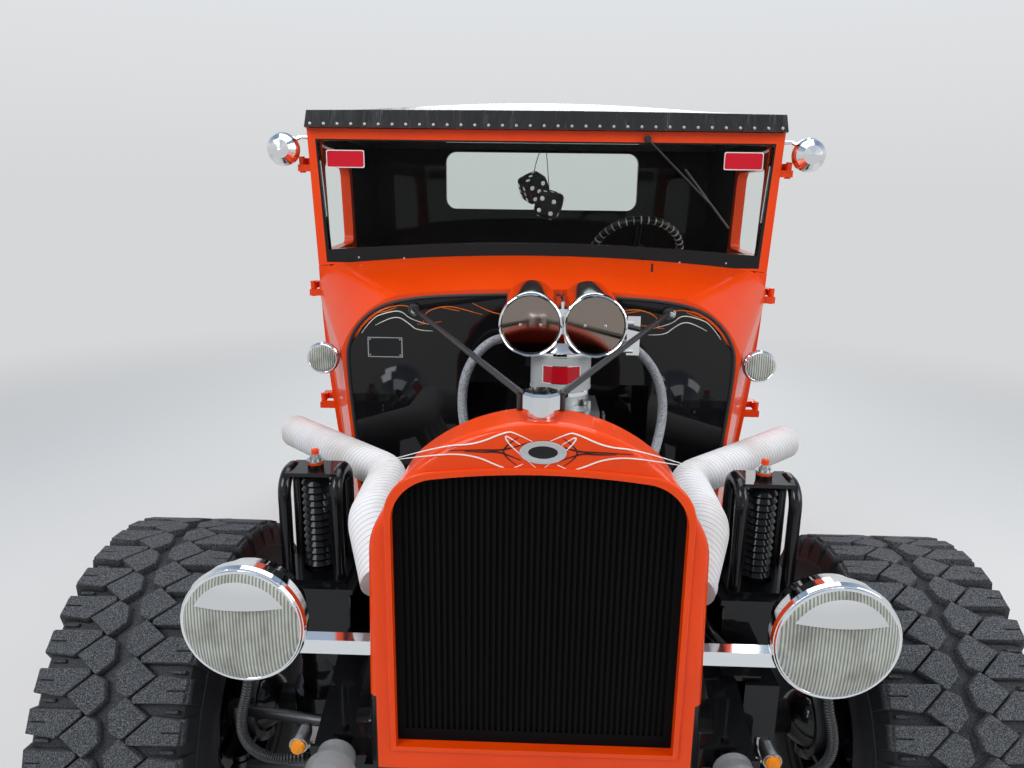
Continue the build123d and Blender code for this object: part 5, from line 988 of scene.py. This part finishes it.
# %% Data plate with its rivets
data_plate = slab(
    "data_plate", (-0.380, FIREWALL_FACE - 0.0004, 1.2035), (0.086, 0.0014, 0.050)
)
inset_front((0.0022, 0.0004))
soften(data_plate, 0.0002, 1)
plate_face = zoned("etched_plate", ("101113", "18191c", 0.35, 0), (
    ((-0.4235, -1.1, 1.1785), (-0.4205, 0, 1.2285), BRIGHT_ZINC),
    ((-0.3395, -1.1, 1.1785), (-0.3365, 0, 1.2285), BRIGHT_ZINC),
    ((-0.4235, -1.1, 1.2265), (-0.3365, 0, 1.2290), BRIGHT_ZINC),
    ((-0.4235, -1.1, 1.1780), (-0.3365, 0, 1.1805), BRIGHT_ZINC),
))
settle(data_plate, plate_face)
turned_set("data_plate_rivets", (
    (FIREWALL_FACE - 0.0008, 0), (FIREWALL_FACE - 0.0008, 0.0022),
    (FIREWALL_FACE - 0.0018, 0.0016), (FIREWALL_FACE - 0.0022, 0),
), [(x, 0, z) for x in (-0.417, -0.343) for z in (1.1840, 1.2230)], 10, zinc_plate)

# %% Welt round the firewall
WELT_Y = -0.9800
WELT = (  # (x, z) down one side of the firewall's edge, from the crown to the foot
    (0.000, 1.3400), (0.170, 1.3350), (0.300, 1.3270), (0.386, 1.3080), (0.438, 1.2690),
    (0.470, 1.2150), (0.4740, 1.1600), (0.4620, 1.0000), (0.4470, 0.8500), (0.4320, 0.6900),
)
welt_points = [(-x, WELT_Y, z) for x, z in reversed(WELT[1:])] + [(x, WELT_Y, z) for x, z in WELT]
settle(rod("firewall_welt", welt_points, 0.009), black_rubber)

# %% Washers under the stay rods' ends, and the wiper's spindle on the cowl
turned_set("stay_washers", (
    (FIREWALL_FACE, 0), (FIREWALL_FACE, 0.0115), (FIREWALL_FACE - 0.0016, 0.0115),
    (FIREWALL_FACE - 0.0026, 0.0080), (FIREWALL_FACE - 0.0110, 0.0074),
    (FIREWALL_FACE - 0.0130, 0.0050), (FIREWALL_FACE - 0.0136, 0),
), ((-0.3062, 0, 1.2950), (0.3132, 0, 1.2982)), 32, zinc_plate)
spindle_points = ((0.288, -0.800, 1.372), (0.288, -0.802, 1.392), (0.288, -0.803, 1.402))
settle(rod("wiper_spindle", spindle_points, 0.006), black_plastic)

# %% [markdown]
# ## Hoses and conduits
# Two thick hoses in a grey woven jacket run from the fittings on the firewall down to the
# engine, and a ribbed black conduit hangs below each headlamp. Each is a single smooth line
# through the route's points, with a round section, so it bends the way a real hose does. The
# ribs follow the cord's own UV map, because they run round it wherever it turns, and each rib
# carries a painted highlight on its crest and painted shade in its trough.

# %% Ribbed plastic, and the routes
RIB_COUNT = 52.0
ribbed_conduit, tree, shader = start_material(
    "ribbed_conduit", {"Roughness": 0.4, "Base Color": colour("0c0c0e")}
)
rib_place = add_node(tree, "Mapping", {
    "Vector": add_node(tree, "TexCoord", {}, "UV"), "Scale": (RIB_COUNT * WAVE_UNIT, 0, 0),
})
ribs = add_node(
    tree, "TexWave", {"Vector": rib_place, "Scale": 1.0}, "Fac", wave_type="BANDS",
    bands_direction="X",
)
# Painted light and shade: each rib's crest is lighter and its trough darker.
rib_light_and_shade_tones = ((0.2, "050506"), (0.8, "26272a"))
feed(shader, {
    "Base Color": add_node(tree, "ValToRGB", {"Fac": ribs}, stops=rib_light_and_shade_tones),
    "Normal": add_node(tree, "Bump", {"Height": ribs, "Distance": 0.0015}),
})
HOSE_LEFT = (  # metres, in order from the firewall to the engine
    (-0.066, -0.995, 1.238), (-0.099, -1.024, 1.240), (-0.131, -1.052, 1.226),
    (-0.157, -1.075, 1.197), (-0.174, -1.090, 1.158), (-0.180, -1.097, 1.111),
    (-0.176, -1.110, 1.063), (-0.164, -1.136, 1.022), (-0.147, -1.173, 0.992),
    (-0.126, -1.220, 0.973), (-0.104, -1.267, 0.961), (-0.081, -1.314, 0.953),
    (-0.059, -1.361, 0.950),
)
HOSE_RIGHT = (
    (0.158, -0.995, 1.238), (0.197, -1.024, 1.236), (0.233, -1.051, 1.219),
    (0.262, -1.074, 1.187), (0.281, -1.088, 1.145), (0.288, -1.096, 1.097),
    (0.283, -1.110, 1.051), (0.270, -1.136, 1.010), (0.252, -1.172, 0.981),
    (0.230, -1.216, 0.963), (0.206, -1.262, 0.953), (0.180, -1.316, 0.948),
    (0.152, -1.368, 0.948),
)
CONDUIT = (
    (0.484, -1.695, 0.780), (0.489, -1.696, 0.748), (0.500, -1.699, 0.711),
    (0.504, -1.701, 0.674), (0.493, -1.701, 0.641), (0.466, -1.699, 0.619),
    (0.433, -1.691, 0.609), (0.404, -1.678, 0.606),
)

# %% Woven hoses and ribbed conduits
for side, points, length in (("left", HOSE_LEFT, 0.587), ("right", HOSE_RIGHT, 0.613)):
    hose = curve_line(f"woven_hose_{side}", points, 0.022)
    dress(hose, woven_jacket, (f"hose_{side}",))
for side, hand in SIDES:
    points = [(hand * x, y, z) for x, y, z in CONDUIT]
    conduit = curve_line(f"ribbed_conduit_{side}", points, 0.018)
    dress(conduit, ribbed_conduit, ("lamp_conduits",))

# %% [markdown]
# ## Windscreen and roof edge
# The vinyl roof is pulled down over the header and held by a row of domed studs. A black rubber
# seal runs along the foot of the glass under small screws. Two bare red stickers sit in the
# glass's upper corners.

# %% Studs along the roof's edge, and screws in the lower seal
def fastener_row(name, outline, start, steps, count, pitch):
    """A row of small turned heads, made once and repeated along x."""
    first = turned(name, outline, start, steps)
    apply_new(first, "ARRAY", count=count, use_relative_offset=False, use_constant_offset=True,
              constant_offset_displace=(pitch, 0, 0))
    settle(first, zinc_plate)


stud_outline = (
    (-0.7296, 0), (-0.7296, 0.0042), (-0.7312, 0.0040), (-0.7326, 0.0026), (-0.7330, 0)
)
fastener_row("roof_studs", stud_outline, (-0.612, 0, 1.7445), 12, 35, 0.036)
screw_outline = ((-0.7072, 0), (-0.7072, 0.0030), (-0.7084, 0.0026), (-0.7088, 0))
fastener_row("seal_screws", screw_outline, (-0.50, 0, 1.398), 10, 9, 0.125)

# %% Bare stickers in the corners of the glass
STICKER_PLACES = ((-0.530, 1.658), (0.528, 1.664))
FILM = 0.0004
red_film = enamel("sticker_red_film", "d21a2e", "c8152a", 0.00001, coat=0.2)
white_film = enamel("sticker_white_film", "eceae6", "e2e0dc", 0.00001, coat=0.2)
for label, film, wide, tall, face_y in (
    ("rim", white_film, 0.103, 0.046, -0.6958), ("field", red_film, 0.098, 0.041, -0.6962)
):
    pair = []
    for x, z in STICKER_PLACES:
        pair.append(slab("film", (x, face_y, z), (wide, FILM, tall)))
        with editing():
            choose("edges", lambda edge: abs(edge.verts[0].co.y - edge.verts[1].co.y) > FILM / 2)
            bpy.ops.mesh.bevel(offset=0.005, segments=4, affect="EDGES")
    settle(join(f"sticker_{label}", *pair), film)

# %% [markdown]
# ## Inside the cab
# A pair of soft black dice hangs on strings behind the windscreen: each starts as a cube, is
# rounded by a wide bevel and swells a little, and its white spots are small raised discs. The
# steering wheel's rim is laced with pale cord on its inner side.

# %% Soft dice and their strings
black_plush = moulded("black_plush", "0a0a0c", "141418", 0.9, 0.0012, 0.0006)
white_felt = moulded("white_felt", "dcdcd8", "c8c8c4", 0.9, 0.001, 0.0001)
cord_cotton = moulded("cord_cotton", "26262a", "38383c", 0.9, 0.001, 0.0001)
DIE = 0.066
SWELL_REACH, SWELL = 0.62, 1.05
SPOT_RADIUS, SPOT_PITCH = 0.0062, 0.0165
SPOT_LIFT, SPOT_FLATNESS = 1.035, 0.25
SPOTS = {1: ((0, 0),), 2: ((-1, -1), (1, 1)), 3: ((-1, -1), (0, 0), (1, 1)),
         4: ((-1, -1), (1, 1), (-1, 1), (1, -1)), 5: ((-1, -1), (1, 1), (-1, 1), (1, -1), (0, 0)),
         6: ((-1, -1), (1, 1), (-1, 1), (1, -1), (-1, 0), (1, 0))}
FACE_TURNS = ((0, 0, 0), (0, 0, 90), (0, 0, 180), (0, 0, 270), (90, 0, 0), (-90, 0, 0))
DICE = (  # label, place, how it hangs in degrees, the spots of its faces
    ("a", (-0.0245, -0.630, 1.590), (18, -24, 20), (5, 2, 1, 6, 4, 3)),
    ("b", (0.0185, -0.634, 1.546), (8, 16, -10), (4, 2, 1, 6, 5, 3)),
)
for label, place, hangs, counts in DICE:
    die = begin("cube", f"plush_die_{label}", size=DIE, location=place,
                rotation=[radians(a) for a in hangs])
    soften(die, 0.012, 4)
    with editing():
        bpy.ops.mesh.subdivide(number_cuts=2)
        choose("verts", lambda vert: vert.co.length < DIE * SWELL_REACH)
        bpy.ops.transform.resize(value=(SWELL, SWELL, SWELL), center_override=place)
    turn_to = die.matrix_world.copy()
    spots = []
    for count, face_turn in zip(counts, FACE_TURNS):
        for across, up in SPOTS[count]:
            spot = begin("uv_sphere", "spot", segments=12, ring_count=6, radius=SPOT_RADIUS,
                         location=(across * SPOT_PITCH, -DIE / 2 * SPOT_LIFT, up * SPOT_PITCH),
                         scale=(1, SPOT_FLATNESS, 1))
            fix_place(spot)
            spot.rotation_euler = [radians(a) for a in face_turn]
            fix_place(spot)
            spots.append(spot)
    all_spots = join(f"plush_die_spots_{label}", *spots)
    all_spots.matrix_world = turn_to
    settle(die, black_plush)
    settle(all_spots, white_felt)
    string_points = (
        (0.004, -0.640, 1.7360), (0.003, -0.6395, 1.7150), (place[0] * 0.5, -0.638, 1.6800),
        (place[0] * 0.9, -0.634, place[2] + 0.055), (place[0], -0.632, place[2] + 0.036), place,
        (place[0], place[1], place[2] - 0.030),
    )
    string = curve_line(f"die_string_{label}", string_points, 0.0022)
    dress(string, cord_cotton)
    legs = zip(string_points, string_points[1:])
    line_length = sum((Vector(a) - Vector(b)).length for a, b in legs)

# %% Steering wheel lacing
WHEEL_HUB = Vector((0.3023, -0.3323, 1.3929))
WHEEL_LEAN = Vector((-0.0594, 0.7671, 0.6383)).normalized()
GRIP_RADIUS = 0.139
LACES = 40
wheel_across = Vector((1, 0, 0)).cross(WHEEL_LEAN).normalized()
lace = begin(
    "torus", "wheel_lacing", major_radius=0.0106, minor_radius=0.0018, major_segments=20,
    minor_segments=6, location=WHEEL_HUB + wheel_across * GRIP_RADIUS,
)
lace.rotation_mode = "QUATERNION"
lace.rotation_quaternion = wheel_across.cross(WHEEL_LEAN).to_track_quat("Z", "Y")
fix_place(lace)
ring_of(LACES, WHEEL_HUB, WHEEL_LEAN)
pale_lacing = moulded("pale_lacing", "c9c6bd", "b2afa6", 0.8, 0.001, 0.0001)
settle(lace, pale_lacing)

# %% [markdown]
# ## Bench seat
# The bench has a long cushion and a backrest, both in black vinyl over foam. Each starts as a
# block, is remeshed, and is blown up a little by a cloth simulation with pressure, so that its
# faces crown and its edges pull in. Upright sewn channels are pressed in afterwards.

# %% Cushion and backrest
PAD_ROUNDING = 0.22
PAD_VOXEL = 0.014
BLOW_PRESSURE = 1.2
BLOW_FRAMES = 14
CHANNEL_PITCH = 0.115
CHANNEL_HALF = 0.0075
CHANNELS_EACH_SIDE = 4


def blown_pad(name, place, size, lean, press):
    """A rounded block that a cloth simulation blows up, with sewn channels pressed in."""
    pad = slab(name, place, size, lean)
    soften(pad, min(size) * PAD_ROUNDING, 3)
    apply_new(pad, "REMESH", mode="VOXEL", voxel_size=PAD_VOXEL)
    cover = pad.modifiers.new("cover", "CLOTH")
    cover.settings.use_pressure = True
    cover.settings.uniform_pressure_force = BLOW_PRESSURE
    cover.settings.effector_weights.gravity = 0
    cover.settings.quality = 4
    for frame_number in range(1, BLOW_FRAMES + 1):
        bpy.context.scene.frame_set(frame_number)
    bpy.ops.object.modifier_apply(modifier=cover.name)
    bpy.context.scene.frame_set(1)
    pick(pad)
    with editing():
        for step in range(-CHANNELS_EACH_SIDE, CHANNELS_EACH_SIDE + 1):
            choose("verts", lambda vert: abs(vert.co.x - step * CHANNEL_PITCH) < CHANNEL_HALF)
            bpy.ops.transform.translate(value=press)
    apply_new(pad, "SUBSURF", levels=1, render_levels=1)
    settle(pad, seat_vinyl, ("seat",))
    return pad


cushion = blown_pad(
    "bench_cushion", (0, -0.070, 0.868), (0.985, 0.330, 0.118), -2, (0, 0, -0.004)
)
back = blown_pad("bench_backrest", (0, 0.185, 1.150), (0.985, 0.095, 0.440), -8, (0, 0.004, 0))
box = slab("bench_box", (0, 0.015, 0.7525), (0.935, 0.380, 0.112))
soften(box, 0.008, 3)
settle(box, black_plastic, ("seat",))

# %% [markdown]
# ## The stage
# The camera stands where the photographer stood: a little above the radiator and close to it.
# It was placed by matching the lamps, the arch, the firewall and the roof. The floor is plain
# and pale, and large soft lamps light the car at a level where colours look as written.

# %% Camera
CAMERA_PLACE = Vector((-0.011, -2.827, 1.579))
YAW = radians(1.73)
PITCH = radians(14.04)
ROLL = radians(-0.76)
FOCAL_PIXELS = 770.0
FRAME_PIXELS = 1024.0
SENSOR = 36.0

ahead = Vector((-sin(YAW) * cos(PITCH), cos(YAW) * cos(PITCH), -sin(PITCH)))
right = Vector((cos(YAW), sin(YAW), 0))
down = ahead.cross(right)
rolled_right = cos(ROLL) * right + sin(ROLL) * down
rolled_down = -sin(ROLL) * right + cos(ROLL) * down
turn = Matrix((rolled_right, -rolled_down, -ahead)).transposed()
camera_data = bpy.data.cameras.new("camera")
camera_data.sensor_width = SENSOR
camera_data.lens = FOCAL_PIXELS / FRAME_PIXELS * SENSOR
camera = bpy.data.objects.new("camera", camera_data)
camera.matrix_world = Matrix.Translation(CAMERA_PLACE) @ turn.to_4x4()
bpy.context.scene.collection.objects.link(camera)
bpy.context.scene.camera = camera
print("lens", round(camera_data.lens, 2), "mm")


# %% Floor
def sees_backdrop(tree):
    """A factor of 1 for rays that come from the camera, from a gloss or through glass."""
    seen = 0.0
    for ray in ("Camera", "Glossy", "Transmission"):
        is_ray = add_node(tree, "LightPath", {}, f"Is {ray} Ray")
        seen = add_node(tree, "Math", (seen, is_ray), operation="ADD", use_clamp=True)
    return seen


# Far from the car the floor fades into the backdrop, so that no horizon line shows.
PAVING_TONE = "d6d7d8"
FADE_START, FADE_END = 2.6, 7.0
floor = begin("plane", "floor", size=60, location=(0, 0, 0))
paving, tree, shader = start_material(
    "pale_floor", {"Base Color": colour("d9d9d6"), "Roughness": 0.8}
)
give(floor, paving)
floor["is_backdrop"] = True
own = add_node(tree, "TexCoord", {}, "Object")
flat = add_node(tree, "Mapping", {"Vector": own, "Scale": (1, 1, 0)})
reach = add_node(tree, "VectorMath", (flat,), "Value", operation="LENGTH")
limits = {"Value": reach, "From Min": FADE_START, "From Max": FADE_END}
fade = add_node(tree, "MapRange", limits, interpolation_type="SMOOTHSTEP")
share = add_node(tree, "Math", (sees_backdrop(tree), fade), operation="MULTIPLY")
glow = add_node(tree, "Emission", {"Color": colour(PAVING_TONE), "Strength": 1.0})
mixed = add_node(tree, "MixShader", (share, shader.outputs["BSDF"], glow))
feed(tree.nodes["Material Output"], {"Surface": mixed})

# %% Lamps
LAMPS = (  # name, place, aimed at, size, watts
    ("key", (-3.4, -4.6, 4.6), (0, -0.6, 0.9), 3.0, 190),
    ("fill", (4.2, -3.2, 3.4), (0, -0.6, 0.9), 3.0, 120),
    ("back", (0.5, 5.2, 4.4), (0, 0.6, 0.9), 4.0, 170),
    ("top", (0, 0.2, 5.2), (0, 0.2, 0.9), 4.0, 130),
)
for name, place, target, size, watts in LAMPS:
    lamp_data = bpy.data.lights.new(name, "AREA")
    lamp_data.energy = watts
    lamp_data.size = size
    lamp = bpy.data.objects.new(name, lamp_data)
    lamp.location = place
    lamp.rotation_euler = (Vector(target) - Vector(place)).to_track_quat("-Z", "Y").to_euler()
    bpy.context.scene.collection.objects.link(lamp)

# %% World
SEEN_LEVEL = 1.0
LIT_LEVEL = 0.55
world = bpy.data.worlds.new("world")
world.use_nodes = True
tree = world.node_tree
heading = add_node(tree, "TexCoord", {}, "Generated")
height = add_node(tree, "SeparateXYZ", (heading,), "Z")
sky_tones = (
    (0.0, PAVING_TONE), (0.06, "d9dadb"), (0.25, "e2e5e8"), (0.45, "b4c2d4"), (0.8, "8398b6"),
    (1.0, "a9b8cc"),
)
levels = {"Value": sees_backdrop(tree), "To Min": LIT_LEVEL, "To Max": SEEN_LEVEL}
feed(tree.nodes["Background"], {
    "Color": add_node(tree, "ValToRGB", {"Fac": height}, stops=sky_tones),
    "Strength": add_node(tree, "MapRange", levels),
})
bpy.context.scene.world = world
bpy.context.scene.view_settings.view_transform = "Standard"

# %% Sizes and finish
boxes = {"cad": cad_box, "visual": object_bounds()}
